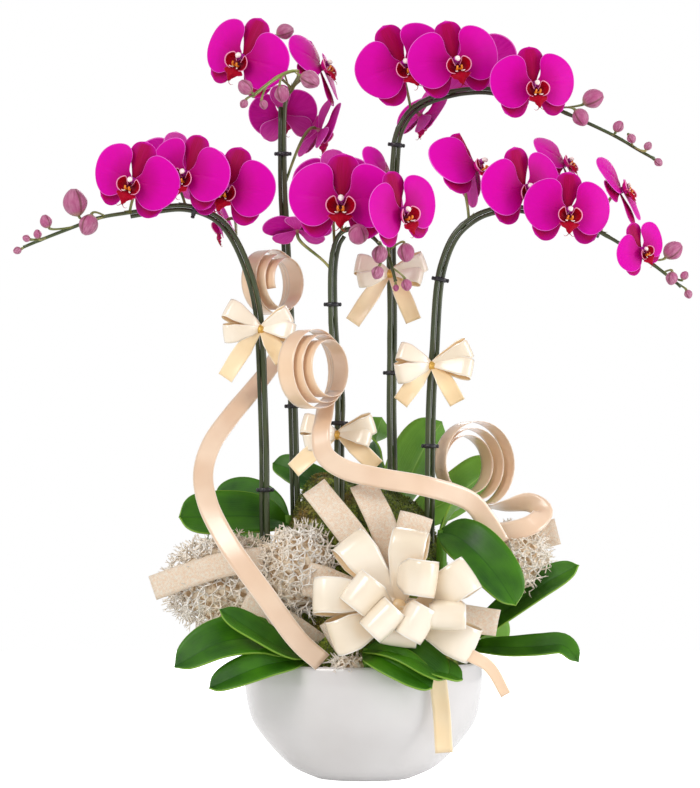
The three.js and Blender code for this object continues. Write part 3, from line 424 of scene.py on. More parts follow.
BLOOMS = {
    "a1": ("a", 11, -247, -94, 643, -15, -5, 20, 98, 8),
    "a2": ("a", 10, -190, -84, 652, -25, 0, 17, 98, 4),
    "a3": ("a", 8, -146, -74, 638, -16, 0, 16, 102, 4),
    "a4": ("a", 9, -208, -2, 668, 165, 12, -8, 92, 0),
    "a5": ("a", 6, -157, 18, 611, -100, -22, 0, 84, 0),
    "b1": ("b", 7, -133, -6, 790, -26, 0, 24, 106, 6),
    "b2": ("b", 7, -47, 36, 786, 66, 24, 25, 98, 9),
    "b3": ("b", 6, -91, 98, 741, 190, 0, 10, 80, 0),
    "b4": ("b", 5, -48, 74, 720, 115, -25, 10, 88, 0),
    "c1": ("c", 8, -24, -92, 622, -3, 0, 2, 115, 3),
    "c2": ("c", 12, 39, -116, 608, 42, 0, -16, 98, -8),
    "c3": ("c", 10, 24, -40, 648, 64, 17, 44, 88, 2),
    "c4": ("c", 6, -72, -42, 597, 175, 66, 0, 76, 0),
    "c5": ("c", 7, -33, -16, 646, 172, 0, 0, 92, 0),
    "d1": ("d", 8, 45, 4, 785, 10, 0, -28, 108, 6),
    "d2": ("d", 10, 101, -8, 786, 12, 0, -12, 104, 4),
    "d3": ("d", 13, 187, -24, 757, 15, 0, -5, 98, 4),
    "d4": ("d", 12, 128, 66, 795, 172, 5, 4, 94, 0),
    "d5": ("d", 9, 66, 80, 738, 125, -32, 0, 84, 0),
    "e1": ("e", 7, 122, -46, 666, 72, 22, 12, 98, 34),
    "e2": ("e", 9, 174, -62, 639, 30, 0, -13, 102, 4),
    "e3": ("e", 11, 219, -82, 612, 10, 0, 4, 96, 4),
    "e4": ("e", 10, 223, 12, 674, 62, 30, 35, 86, 10),
    "e5": ("e", 12, 283, -14, 642, 66, 26, 36, 90, 0),
    "e6": ("e", 13, 299, -70, 572, 36, -6, -30, 68, 0),
}
BLOOM_BACK = 8
STEM, STALK, BUD = 0, 1, 2
UP = Vector((0, 0, 1))
AWAY = Vector((0, 1, 0))


def tangents(points):
    """The direction of a curve at each of its points."""
    last = len(points) - 1
    return [(points[min(i + 1, last)] - points[max(i - 1, 0)]).normalized() for i in range(last + 1)]


def tube_rows(points, radius, sides, ridges=None):
    """Rings of points round a curve, closed to a point at both ends, and their uv."""
    along = tangents(points)
    side = along[0].cross(AWAY if abs(along[0].y) < 0.9 else UP).normalized()
    rows, uvs = [[points[0]] * (sides + 1)], [[(j / sides, 0) for j in range(sides + 1)]]
    for i, p in enumerate(points):
        side = (side - along[i] * side.dot(along[i])).normalized()
        other = along[i].cross(side)
        share = i / (len(points) - 1)
        row = []
        for j in range(sides + 1):
            a = 2 * math.pi * (j % sides) / sides
            r = radius(share) * (ridges(share, a) if ridges else 1)
            row.append(p + side * (r * math.cos(a)) + other * (r * math.sin(a)))
        rows.append(row)
        uvs.append([(j / sides, share) for j in range(sides + 1)])
    rows.append([points[-1]] * (sides + 1))
    uvs.append([(j / sides, 1) for j in range(sides + 1)])
    return rows, uvs


def sewn(name, patches, finishes):
    """One piece from patches: rows of points in millimetres, their uv, with how near the rim they
    lie as a third value, and their finish."""
    work = bmesh.new()
    layer = work.loops.layers.uv.new("UVMap")
    edge = work.loops.layers.uv.new("Edge")
    for rows, uvs, finish in patches:
        grid = [[work.verts.new(p * MM) for p in row] for row in rows]
        for i in range(len(grid) - 1):
            for j in range(len(grid[0]) - 1):
                corners = ((i, j), (i, j + 1), (i + 1, j + 1), (i + 1, j))
                face = work.faces.new([grid[r][c] for r, c in corners])
                face.material_index = finish
                face.smooth = True
                for loop, (r, c) in zip(face.loops, corners):
                    loop[layer].uv = uvs[r][c][:2]
                    loop[edge].uv = (uvs[r][c][2] if len(uvs[r][c]) > 2 else 0, 0)
    bmesh.ops.remove_doubles(work, verts=work.verts, dist=2e-6)
    mesh = bpy.data.meshes.new(name)
    work.to_mesh(mesh)
    work.free()
    for finish in finishes:
        mesh.materials.append(finish)
    piece = bpy.data.objects.new(name, mesh)
    bpy.context.collection.objects.link(piece)
    return piece


def turned_out(piece):
    """Faces of closed shapes point outwards."""
    select_only(piece)
    bpy.ops.object.mode_set(mode="EDIT")
    bpy.ops.mesh.select_all(action="SELECT")
    bpy.ops.mesh.normals_make_consistent(inside=False)
    bpy.ops.object.mode_set(mode="OBJECT")


def thicken(piece, gauge, offset, back=1):
    """A sheet given its thickness in millimetres, with the finish back places further on behind."""
    select_only(piece)
    bpy.ops.object.modifier_add(type="SOLIDIFY")
    solidify = piece.modifiers[-1]
    solidify.thickness = gauge * MM
    solidify.offset = offset
    solidify.material_offset = back
    bpy.ops.object.modifier_apply(modifier=solidify.name)


def join_to(piece, others):
    select_only(piece)
    for other in others:
        other.select_set(True)
    bpy.ops.object.join()


def bloom_turn(row):
    """The turn of a bloom from facing the viewer to its own yaw, pitch and roll."""
    yaw, pitch, roll = (math.radians(v) for v in row[5:8])
    return Matrix.Rotation(yaw, 4, "Z") @ Matrix.Rotation(-pitch, 4, "X") @ Matrix.Rotation(roll, 4, "Y")


VEINS, given, out = new_group("veins", "UV", ("Across", "Along"), "Vein")
parts = node(VEINS, "ShaderNodeSeparateXYZ", {0: given.outputs["UV"]})
scaled = node(VEINS, "ShaderNodeCombineXYZ", {
    k: maths(VEINS, "MULTIPLY", parts.outputs[k], given.outputs[label])
    for k, label in enumerate(("Across", "Along"))})
grain = node(VEINS, "ShaderNodeTexNoise", {"Vector": scaled.outputs[0], "Scale": 1, "Detail": 3})
link(VEINS, grain.outputs["Fac"], out.inputs["Vein"])


def veins(made, across, along):
    """Fine veins that run along a piece: how many lie across it and how often they break."""
    uv = node(made, "ShaderNodeTexCoord").outputs["UV"]
    values = {"UV": uv, "Across": across, "Along": along}
    return node(made, "ShaderNodeGroup", values, node_tree=VEINS).outputs["Vein"]


def uv_parts(made):
    """How far a point lies across and along its piece."""
    uv = node(made, "ShaderNodeTexCoord").outputs["UV"]
    parts = node(made, "ShaderNodeSeparateXYZ", {0: uv})
    return parts.outputs["X"], parts.outputs["Y"]


def stem_finish(label, foot, tip):
    """Stem skin: streaked along, with worn spots, lighter towards the tip of the spike."""
    finish, shader = material(label, 0.3, Coat_Weight=0.25, Coat_Roughness=0.2)
    _, along = uv_parts(finish)
    tone = ramp(finish, veins(finish, 22, 6), (0.3, 0.35), (0.75, 1))
    worn = ramp(finish, cloudy(finish, 45), (0.55, 0), (0.8, 0.5))
    body = blend_of(finish, ramp(finish, along, (0.45, 0), (0.75, 1)), foot, tip)
    body = blend_of(finish, worn, body, (0.12, 0.12, 0.04))
    paint(finish, shader, blend_of(finish, tone, (0.012, 0.02, 0.007), body))
    bump(finish, tone, 0.15, 0.0006, shader)
    return finish


stem_skin = stem_finish("stem_skin", (0.066, 0.088, 0.028), (0.075, 0.11, 0.025))
fresh_skin = stem_finish("fresh_stem_skin", (0.066, 0.088, 0.028), (0.36, 0.44, 0.07))
stalk_skin = plain_finish("stalk_skin", 0.4, (0.10, 0.14, 0.025), (0.38, 0.36, 0.12), 60, (0.35, 0.7), 4)

bud_skin, shader = material("bud_skin", 0.42, Sheen_Weight=0.12, Specular_IOR_Level=0.3)
across, along = uv_parts(bud_skin)
tone = ramp(bud_skin, veins(bud_skin, 30, 3), (0.3, 0), (0.72, 1))
blush = ramp(bud_skin, cloudy(bud_skin, 40, 2), (0.35, 0), (0.65, 0.8))
body = blend_of(bud_skin, tone, (0.30, 0.07, 0.15), (0.56, 0.24, 0.36))
body = blend_of(bud_skin, blush, body, (0.40, 0.06, 0.19))
base = ramp(bud_skin, along, (0.0, 1), (0.22, 0))
body = blend_of(bud_skin, base, body, (0.30, 0.20, 0.10))
turns = maths(bud_skin, "COSINE", maths(bud_skin, "MULTIPLY", across, 6 * math.pi))
seam = ramp(bud_skin, turns, (0.90, 0), (0.99, 0.75))
paint(bud_skin, shader, blend_of(bud_skin, seam, body, (0.13, 0.035, 0.03)))
bump(bud_skin, tone, 0.2, 0.0005, shader)


def bud_patches(start, row):
    """A closed bud on its stalk: stem point, place, radius, direction and tilt towards the viewer."""
    _, x, y, z, radius, degrees, *more = row
    forward = math.tan(math.radians(more[0] if more else 9))
    a = math.radians(degrees)
    tip = Vector((math.cos(a), -forward, math.sin(a))).normalized()
    middle = Vector((x, y, z))
    foot = middle - tip * radius
    below = foot - tip * (radius * 0.6)
    steps = [k / 8 for k in range(9)]
    stalk = [(1 - t) ** 2 * start + 2 * t * (1 - t) * below + t * t * foot for t in steps]
    side = tip.cross(AWAY).normalized()
    body = [middle + tip * (radius * (2.12 * t - 1)) + side * (0.1 * radius * math.sin(3.2 * t))
            for t in (k / 14 for k in range(15))]

    def swell(t):
        full = max(0.02, math.sin(math.pi * min(1, t * 0.95 + 0.015))) ** 0.56
        return 0.98 * radius * full * (1 - 0.12 * t ** 3)

    def seams(t, angle):
        near = (angle * 1.5 / math.pi + 0.5) % 1 - 0.5
        return 1 - 0.06 * math.exp(-near ** 2 / 0.004) * math.sin(math.pi * t)

    stalk_rows = tube_rows(stalk, lambda t: 1.1 + 0.7 * t ** 3, 7)
    return [(*stalk_rows, STALK), (*tube_rows(body, swell, 24, seams), BUD)]


def bract_patch(p, along, out):
    """The small dry sheath where a stalk leaves the stem."""
    wide = along.cross(out).normalized()
    rows, uvs = [], []
    for i in range(5):
        t = i / 4
        centre = p + along * (9 * t - 2) + out * (2.2 + 2.4 * t * t)
        half = 2.9 * (1 - t) ** 0.8 + 0.1
        spread = (-1, -0.5, 0, 0.5, 1)
        rows.append([centre + wide * (half * v) - out * (1.3 * v * v * (1 - t)) for v in spread])
        uvs.append([(0.5 + 0.5 * v, t) for v in spread])
    return rows, uvs, STALK


def stalk_patch(start, row):
    """A flower stalk that rises from the stem and bends into the back of its bloom."""
    turn = bloom_turn(row)
    behind = turn @ AWAY
    end = Vector(row[2:5]) + behind * (BLOOM_BACK * row[8] / 100 + 0.3)
    reach = (end - start).length
    lead = start.lerp(end, 0.25) + UP * (reach * 0.12)
    arrive = end + behind * min(14, reach * 0.45)
    steps = [k / 14 for k in range(15)]
    curve = [(1 - t) ** 3 * start + 3 * t * (1 - t) ** 2 * lead
             + 3 * t * t * (1 - t) * arrive + t ** 3 * end for t in steps]
    return (*tube_rows(curve, lambda t: 1.5 + 0.35 * t, 8), STALK)


def stem_radius(share):
    """The stem's radius at a share of its length."""
    return 3.4 * (1 - 0.5 * share)


for name, spike in SPIKES.items():
    route = [Vector(p) for p in spike["route"]]
    curve = smooth(route, 5)

    def jointed(t, places=len(route)):
        joint = math.exp(-(((t * places * 0.5) % 1) - 0.5) ** 2 / 0.002)
        return stem_radius(t) + 0.45 * joint

    patches = [(*tube_rows(curve, jointed, 12), STEM)]
    for row in spike["buds"]:
        start = route[row[0]].lerp(route[row[0] - 1], 0.2)
        patches += bud_patches(start, row)
    for row in BLOOMS.values():
        if row[0] == name:
            patches.append(stalk_patch(route[row[1]], row))
            out = (Vector(row[2:5]) - route[row[1]]).normalized()
            patches.append(bract_patch(route[row[1]], tangents(curve)[row[1] * 5], out))
    skin = fresh_skin if name == "b" else stem_skin
    stem = sewn(f"stem_{name}", patches, [skin, stalk_skin, bud_skin])
    turned_out(stem)
    dress(stem, "stem", f"spike_{name}")

# Wires: green plastic-covered support wires beside the stems, held to them by dark plastic clips,
# each one oval band round both rods with small knobs where it snaps shut.
wire_skin = plain_finish("wire_skin", 0.28, (0.020, 0.030, 0.008), (0.058, 0.074, 0.022), 35,
                         (0.35, 0.7), 4, Coat_Weight=0.2, Coat_Roughness=0.15)
clip_skin = plain_finish("clip_plastic", 0.35, (0.008, 0.008, 0.010), (0.035, 0.032, 0.038), 300,
                         (0.3, 0.7), 4)


def hoop_patch(middle, way, out, reach, gauge, wide=None, finish=1):
    """A thick band round a direction, oval if it is wider one way."""
    deep = way.cross(out)
    rows, uvs = [], []
    for j in range(25):
        a = 2 * math.pi * (j % 24) / 24
        radial = out * math.cos(a) + deep * math.sin(a)
        centre = middle + out * ((wide or reach) * math.cos(a)) + deep * (reach * math.sin(a))
        ring = []
        for k in range(9):
            b = 2 * math.pi * (k % 8) / 8
            ring.append(centre + radial * (gauge * math.cos(b)) + way * (2.4 * gauge * math.sin(b)))
        rows.append(ring)
        uvs.append([(k / 8, j / 24) for k in range(9)])
    return rows, uvs, finish


for name, spike in SPIKES.items():
    route = [Vector(p) for p in spike["route"]]
    along = tangents(route)
    beside = []
    for i in range(spike["staked"] + 1):
        out = along[i].cross(AWAY).normalized() * spike["side"]
        beside.append(route[i] + out * (stem_radius(i / (len(route) - 1)) + 2.45))
    patches = [(*tube_rows(smooth(beside, 5), lambda t: 2.3, 12), 0)]
    for at in spike["ties"]:
        i = int(at)
        way = (route[i + 1] - route[i]).normalized()
        out = way.cross(AWAY).normalized() * spike["side"]
        middle = route[i].lerp(route[i + 1], at - i) + out * 2.1
        patches.append(hoop_patch(middle, way, out, 4.5, 0.95, 6.6))
        for knob in (middle + out * 8.2, middle - out * 8.2, middle + way.cross(out) * 5.2):
            ball = [knob + way * h for h in (-2.1, -1.4, 0, 1.4, 2.1)]
            patches.append((*tube_rows(ball, lambda t: 0.9 + 0.8 * math.sin(math.pi * t), 8), 1))
    wire = sewn(f"wire_{name}", patches, [wire_skin, clip_skin])
    turned_out(wire)
    dress(wire, "wire", f"stake_{name}")

# Blooms: a broad pair of magenta petals over three narrower, more crimson sepals, a dark red lip
# cupped round a white-capped column, and fine pale rims. Blades are thin, veined and a little wavy.
PETAL = [(1.6, 1.5), (3.4, 5.2), (6.8, 9.5), (8.2, 16), (8.4, 23), (10.8, 30), (17.5, 34.8), (27.5, 34.4),
         (38.5, 29), (46.5, 20), (50, 8), (48.6, -5), (42, -16.5), (32.5, -23.6), (22, -24.4), (13, -19.5),
         (6.5, -11.5), (3, -4.5), (1.6, 1.5)]
PETAL_HEART = (19, 3)
SEPAL = [(3, 0), (4.6, 6), (8.6, 15), (13.6, 24), (15.4, 31), (13.6, 37.5), (8.6, 42.4), (0, 44.6)]
SIDE_LOBE = [(2.6, -6.2, -5.6), (4.6, -8.6, -1.2), (6.2, -10.6, 2.9), (9.6, -12.6, 1.6),
             (12.8, -13.6, -2.2), (13.4, -13.4, -6.8), (11.4, -12.6, -11), (8, -11.4, -13),
             (4.6, -10.4, -13.6)]
MIDDLE_LOBE = [(2.4, -10.5), (4.0, -12.6), (9.4, -13.6), (11.4, -15.8), (9.2, -18.6), (5.6, -20.8),
               (3.4, -23.6), (1.6, -26.2), (0, -27.2)]
BLADE = 0.7
# Places in a bloom's list of finishes; the back of each blade comes right after its face.
PETAL_FACE, SEPAL_FACE, CUP, LOBE, COLUMN, CAP, CALLUS, CALYX = 0, 2, 4, 6, 8, 9, 10, 11


def petal_patch(flip, phase):
    """A broad petal, crowned towards the viewer, rippled near its rim and rolled back at its edge."""
    rim = smooth([(x, z, 0) for x, z in PETAL], 4)
    heart = Vector((*PETAL_HEART, 0))
    rows, uvs = [], []
    for i in range(14):
        reach = (i / 13) ** 0.8
        row, line = [], []
        for corner in rim:
            p = heart.lerp(corner, reach)
            far = p.length / 50
            swing = math.atan2(p.y, p.x)
            ripple = 0.9 * reach ** 3 * far * math.sin(4.4 * swing + phase)
            crown = 3.0 * math.sin(math.pi * min(1, far ** 0.9)) * math.cos(0.7 * swing)
            rib = 0.5 * math.exp(-((swing - 0.12) / 0.06) ** 2) * math.sin(math.pi * min(1, far))
            roll = 1.2 * max(0, reach - 0.8) * 5 * max(0, math.sin(swing + 0.5 * math.sin(phase)))
            y = -1.2 + 4.0 * (p.x / 50) ** 2 - crown + ripple + rib + roll * 0.6
            row.append(Vector((flip * p.x, y, p.y)))
            line.append((0.5 + swing / math.pi, far, i / 13))
        rows.append(row if flip > 0 else row[::-1])
        uvs.append(line if flip > 0 else line[::-1])
    return rows, uvs, PETAL_FACE


def sepal_patch(turn, phase):
    """A narrower sepal, turned about the bloom's axis and hollow along its middle."""
    edge = smooth([(x, z, 0) for x, z in SEPAL], 4)
    about = Matrix.Rotation(math.radians(turn), 3, "Y")
    rows, uvs = [], []
    for corner in edge:
        along = corner.y / SEPAL[-1][1]
        row, line = [], []
        for k in range(9):
            v = k / 4 - 1
            y = 2.4 + 3.0 * along - 1.3 * (1 - v * v) * math.sin(math.pi * min(1, along + 0.05))
            y += 0.8 * v * v * along * math.sin(5 * along + phase)
            row.append(about @ Vector((corner.x * v, y, corner.y)))
            line.append((k / 8, along, max(abs(v), 0.94 + 2 * (along - 0.97) if along > 0.94 else 0)))
        rows.append(row)
        uvs.append(line)
    return rows, uvs, SEPAL_FACE


def side_lobe_patch(flip):
    """Half of the lip's cup: deep red in its throat, risen at the side to a forward ear."""
    rim = smooth(SIDE_LOBE, 3)
    rows, uvs = [], []
    for i in range(11):
        r = i / 10
        row, line = [], []
        for j, corner in enumerate(rim):
            t = j / (len(rim) - 1)
            root = Vector((0, -3.4, -5.0)).lerp(Vector((0, -5.4, -12.5)), t)
            p = root.lerp(corner, r)
            p.y = root.y + (corner.y - root.y) * r ** 2.6
            p.x += 2.4 * math.sin(math.pi * r) * math.sin(math.pi * min(1, 0.2 + t))
            row.append(Vector((flip * p.x, p.y, p.z)))
            line.append((t, r, r))
        rows.append(row if flip > 0 else row[::-1])
        uvs.append(line if flip > 0 else line[::-1])
    return rows, uvs, CUP


def middle_lobe_patch(phase):
    """The lip's pointed middle lobe, lumpy and frilled down its sides."""
    edge = smooth([(x, z, 0) for x, z in MIDDLE_LOBE], 4)
    rows, uvs = [], []
    for corner in edge:
        down = (corner.y + 10.5) / -16.7
        depth = -7.2 - 6.4 * math.sin(min(1, down * 1.6) * math.pi / 2) + 2.4 * max(0, down - 0.55)
        row, line = [], []
        for k in range(13):
            v = k / 6 - 1
            lift = -1.8 * (1 - abs(v)) ** 1.3 + 1.8 * v * v * math.sin(math.pi * min(1, down))
            frill = 0.8 * abs(v) ** 2 * math.sin(19 * down + 3 * v + phase)
            lump = 0.5 * math.cos(3 * math.pi * v) * math.sin(math.pi * min(1, down * 1.2))
            x = corner.x * v * (1 + 0.05 * math.sin(24 * down + phase))
            row.append(Vector((x, depth + lift + frill + lump, corner.y)))
            line.append((k / 12, down, abs(v)))
        rows.append(row[::-1])
        uvs.append(line[::-1])
    return rows, uvs, LOBE


def curve_patch(points, radius, sides, finish):
    """A round piece along a few points."""
    return (*tube_rows(smooth(points, 4), radius, sides), finish)


def edge_of(made):
    """How near the rim of its blade a point lies, from 0 to 1."""
    near = node(made, "ShaderNodeUVMap", uv_map="Edge").outputs["UV"]
    return node(made, "ShaderNodeSeparateXYZ", {0: near}).outputs["X"]


BLADE_FINISHES = [
    ("petal", (0.66, 0.3, 0.966),
     ((0.34, 0, 0.10), (0.54, 0, 0.26), (0.68, 0, 0.385), (0.86, 0.14, 0.66))),
    ("petal_back", (0.5, 0.8, 0.95),
     ((0.40, 0, 0.14), (0.46, 0, 0.24), (0.60, 0.008, 0.36), (0.80, 0.14, 0.58))),
    ("sepal", (0.95, 0.8, 0.95),
     ((0.24, 0, 0.02), (0.28, 0, 0.035), (0.44, 0, 0.12), (0.70, 0.04, 0.46))),
    ("sepal_back", (0.5, 0.8, 0.94),
     ((0.46, 0.01, 0.20), (0.50, 0.01, 0.26), (0.70, 0.06, 0.46), (0.86, 0.30, 0.70))),
    ("lip_inside", (0.66, 0.8, 0.945),
     ((0.05, 0, 0.012), (0.20, 0, 0.006), (0.48, 0, 0.015), (0.90, 0.30, 0.48))),
    ("lip_outside", (0.5, 0.6, 0.945),
     ((0.34, 0, 0.06), (0.46, 0, 0.14), (0.62, 0.01, 0.28), (0.90, 0.36, 0.60))),
    ("lip_middle", (0.3, 0.9, 0.93),
     ((0.10, 0, 0.004), (0.22, 0, 0.006), (0.46, 0, 0.02), (0.60, 0.02, 0.16))),
    ("lip_under", (0.4, 0.6, 0.9),
     ((0.36, 0, 0.06), (0.40, 0, 0.08), (0.56, 0.01, 0.16), (0.80, 0.2, 0.4))),
]


def bloom_finishes():
    """Front and back of each kind of blade: where its heart ends, its streaks and where its rim
    begins, then the colours of heart, shaded body, bright body and rim."""
    made = []
    for label, (spread, streaks, line), (centre, deep, bright, rim) in BLADE_FINISHES:
        finish, shader = material(label, 0.5, Sheen_Weight=0.03, Sheen_Roughness=0.4,
                                  Sheen_Tint=(1, 0.2, 0.9, 1), Subsurface_Weight=0.06,
                                  Specular_IOR_Level=0.07)
        _, along = uv_parts(finish)
        streak = ramp(finish, veins(finish, 46, 2.2), (0.32, 0), (0.70, streaks))
        body = blend_of(finish, streak, deep, bright)
        soft = ramp(finish, cloudy(finish, 30, 2), (0.3, 0), (0.8, 0.4))
        body = blend_of(finish, soft, body, bright)
        if label == "petal":
            body = blend_of(finish, ramp(finish, along, (0.5, 0), (1.0, 0.8)), body, bright)
        if label == "sepal":
            blush = ramp(finish, edge_of(finish), (0.35, 0), (0.95, 1))
            body = blend_of(finish, blush, body, (0.48, 0.0, 0.24))
        heart = ramp(finish, along, (0.04, 1), (spread, 0.0))
        body = blend_of(finish, heart, body, centre)
        margin = ramp(finish, edge_of(finish), (line, 0), (line + 0.02, 1))
        paint(finish, shader, blend_of(finish, margin, body, rim))
        bump(finish, streak, 0.14, 0.0005, shader)
        made.append(finish)
    return made


column_skin = plain_finish("column", 0.4, (0.20, 0.0, 0.12), (0.46, 0.01, 0.34), 300)
anther_cap = plain_finish("anther_cap", 0.35, (0.90, 0.66, 0.62), (0.99, 0.95, 0.90), 500)
callus = plain_finish("callus", 0.35, (0.62, 0.10, 0.005), (0.95, 0.34, 0.02), 700)
calyx_back = plain_finish("calyx_back", 0.45, (0.30, 0.16, 0.08), (0.55, 0.16, 0.30), 120)
BLOOM_FINISHES = [*bloom_finishes(), column_skin, anther_cap, callus, calyx_back]


def islands(work):
    """The groups of faces that hang together."""
    left, found = set(work.faces), []
    while left:
        queue, part = [left.pop()], []
        while queue:
            face = queue.pop()
            part.append(face)
            for edge in face.edges:
                for other in edge.link_faces:
                    if other in left:
                        left.remove(other)
                        queue.append(other)
        found.append(part)
    return found


def bloom_model(label, phase):
    """One open bloom facing the viewer, 100 mm across; copies are turned and folded from it."""
    blades = [petal_patch(1, phase), petal_patch(-1, phase + 1.7), middle_lobe_patch(phase),
              side_lobe_patch(1), side_lobe_patch(-1)]
    blades += [sepal_patch(turn, phase + turn) for turn in (0, 130, -130)]
    piece = sewn(label, blades, BLOOM_FINISHES)
    work = bmesh.new()
    work.from_mesh(piece.data)
    work.normal_update()
    for part in islands(work):
        if sum(f.normal.y * f.calc_area() for f in part) > 0:
            bmesh.ops.reverse_faces(work, faces=part)
    work.to_mesh(piece.data)
    work.free()
    thicken(piece, BLADE, -1)
    cirri = [[(s * 0.6, -12.2, -26.4), (s * 2.4, -13.4, -28.8), (s * 4.8, -13.2, -29.8),
              (s * 6.2, -11.8, -28.6)] for s in (1, -1)]
    firm = [curve_patch(path, lambda t: 0.45 * (1 - 0.7 * t), 6, LOBE) for path in cirri]
    firm += [
        curve_patch([(0, 1.5, 0), (0, -4, 0.8), (0, -8, 1.2), (0, -10.2, 1.0)],
                    lambda t: 3.9 - 1.0 * t + 0.5 * t ** 4, 16, COLUMN),
        curve_patch([(0, -9.4, 1.9), (0, -11.4, 1.7), (0, -12.8, 0.6), (0, -13.4, -1.6)],
                    lambda t: 2.9 * max(0.05, math.sin(math.pi * (0.12 + 0.84 * t))) ** 0.6, 14, CAP),
        curve_patch([(0, 2.2, 0), (0, 4.5, 0), (0, BLOOM_BACK, 0)], lambda t: 3.4 - 1.6 * t, 12, CALYX),
    ]
    for s in (1, -1):
        firm.append(curve_patch([(s * 1.6, -6.0, -9.6), (s * 2.3, -9.8, -9.8), (s * 2.6, -12.4, -8.6),
                                 (s * 2.3, -13.6, -6.4)], lambda t: 1.5 - 0.5 * t, 10, CALLUS))
        firm.append(curve_patch([(s * 2.4, -9.0, -11.4), (s * 3.8, -12.0, -12.2),
                                 (s * 5.2, -13.4, -11.8)], lambda t: 0.9 - 0.5 * t, 8, CAP))
    heart = sewn(label + "_heart", firm, BLOOM_FINISHES)
    turned_out(heart)
    join_to(piece, [heart])
    return piece


models = [bloom_model(f"bloom_model_{i}", 0.9 + 2.1 * i) for i in range(3)]
for i, (name, row) in enumerate(BLOOMS.items()):
    mesh = models[i % 3].data.copy()
    flower = bpy.data.objects.new(f"flower_{name}", mesh)
    bpy.context.collection.objects.link(flower)
    size = row[8] / 100
    slope = math.tan(math.radians(row[9]))
    turn = Matrix.Translation(Vector(row[2:5]) * MM) @ bloom_turn(row) @ Matrix.Scale(size, 4)
    for vertex in mesh.vertices:
        x, y, z = vertex.co
        vertex.co = turn @ Vector((x, y + abs(x) * slope, z))
    mesh.update()
    dress(flower, "bloom", f"bloom_{name}")
for model in models:
    bpy.data.objects.remove(model)

# Leaves: thick glossy straps from short crowns, channelled down the midrib, deep green above and
# lighter below, with a thin pale margin. Crown: x, y, foot, top and radius; then each blade's
# width, roll about its length and route.
LEAVES = {
    "leaves_left": ((-84, 18, 215, 286, 8), [
        (56, -58, [(-84, 16, 276), (-101, 4, 281), (-125, -4, 284), (-155, -12, 284), (-182, -18, 283),
                   (-202, -22, 283)]),
        (44, -45, [(-84, 20, 278), (-103, 28, 294), (-126, 42, 305), (-147, 54, 307), (-166, 62, 299)]),
        (42, 0, [(-88, 20, 276), (-112, 50, 284), (-132, 90, 262), (-142, 126, 222)]),
    ]),
    "leaves_left_low": ((-64, -93, 106, 140, 5.5), [
        (34, -50, [(-64, -93, 136), (-80, -112, 141), (-98, -122, 151), (-124, -130, 168),
                   (-152, -132, 186)]),
        (52, -50, [(-64, -93, 134), (-90, -100, 146), (-118, -112, 155), (-156, -126, 150),
                   (-198, -134, 126)]),
        (36, -52, [(-64, -93, 131), (-84, -116, 131), (-104, -130, 128), (-132, -138, 118),
                   (-162, -140, 104)]),
    ]),
    "leaves_front": ((2, -114, 106, 146, 4.5), [
        (42, 42, [(2, -114, 140), (14, -134, 138), (32, -148, 129), (50, -154, 118), (70, -156, 105)]),
        (42, 42, [(2, -114, 142), (24, -130, 146), (48, -140, 140), (68, -146, 128), (84, -148, 114)]),
        (32, 36, [(2, -114, 137), (32, -128, 136), (60, -138, 129), (84, -144, 121), (102, -146, 113)]),
    ]),
    "leaves_back": ((40, 72, 235, 284, 8), [
        (36, -55, [(40, 72, 280), (8, 76, 296), (-34, 78, 314), (-62, 84, 326), (-84, 94, 338),
                   (-103, 102, 344)]),
        (62, -78, [(40, 72, 280), (44, 78, 304), (54, 84, 332), (70, 90, 364), (90, 96, 392)]),
        (48, -96, [(39, 73, 278), (28, 94, 306), (19, 106, 340), (15, 114, 374), (22, 120, 398)]),
        (50, -82, [(41, 71, 276), (72, 64, 290), (104, 68, 308), (130, 78, 328), (152, 84, 346)]),
        (46, 0, [(40, 73, 276), (44, 108, 274), (46, 138, 250), (44, 158, 212)]),
        (42, 0, [(38, 73, 274), (0, 112, 268), (-28, 142, 244), (-46, 160, 208)]),
    ]),
    "leaves_right": ((84, -38, 205, 270, 6), [
        (56, 46, [(84, -38, 266), (100, -56, 262), (118, -72, 248), (140, -84, 222), (161, -92, 189)]),
        (30, -50, [(84, -36, 266), (96, -18, 286), (108, 0, 297), (118, 12, 300)]),
    ]),
    "leaves_right_low": ((109, 12, 106, 152, 5.5), [
        (36, 62, [(109, 12, 146), (136, 2, 164), (166, -8, 188), (200, -18, 212), (235, -24, 231)]),
        (27, 60, [(109, 10, 140), (134, -14, 142), (162, -34, 142), (191, -46, 144), (215, -51, 145),
                  (230, -54, 128)]),
        (42, 0, [(109, 16, 144), (126, 44, 164), (142, 76, 160), (150, 106, 132)]),
    ]),
}
LEAF_SHAPE = [(0, 0.20), (0.24, 0.76), (0.52, 1), (0.78, 0.94), (0.93, 0.62), (1, 0)]
LEAF_GAUGE = 1.9


def off_middle(made):
    """How far a point lies from the middle line of its strip, from 0 to 0.5."""
    across, _ = uv_parts(made)
    return maths(made, "ABSOLUTE", maths(made, "SUBTRACT", across, 0.5))


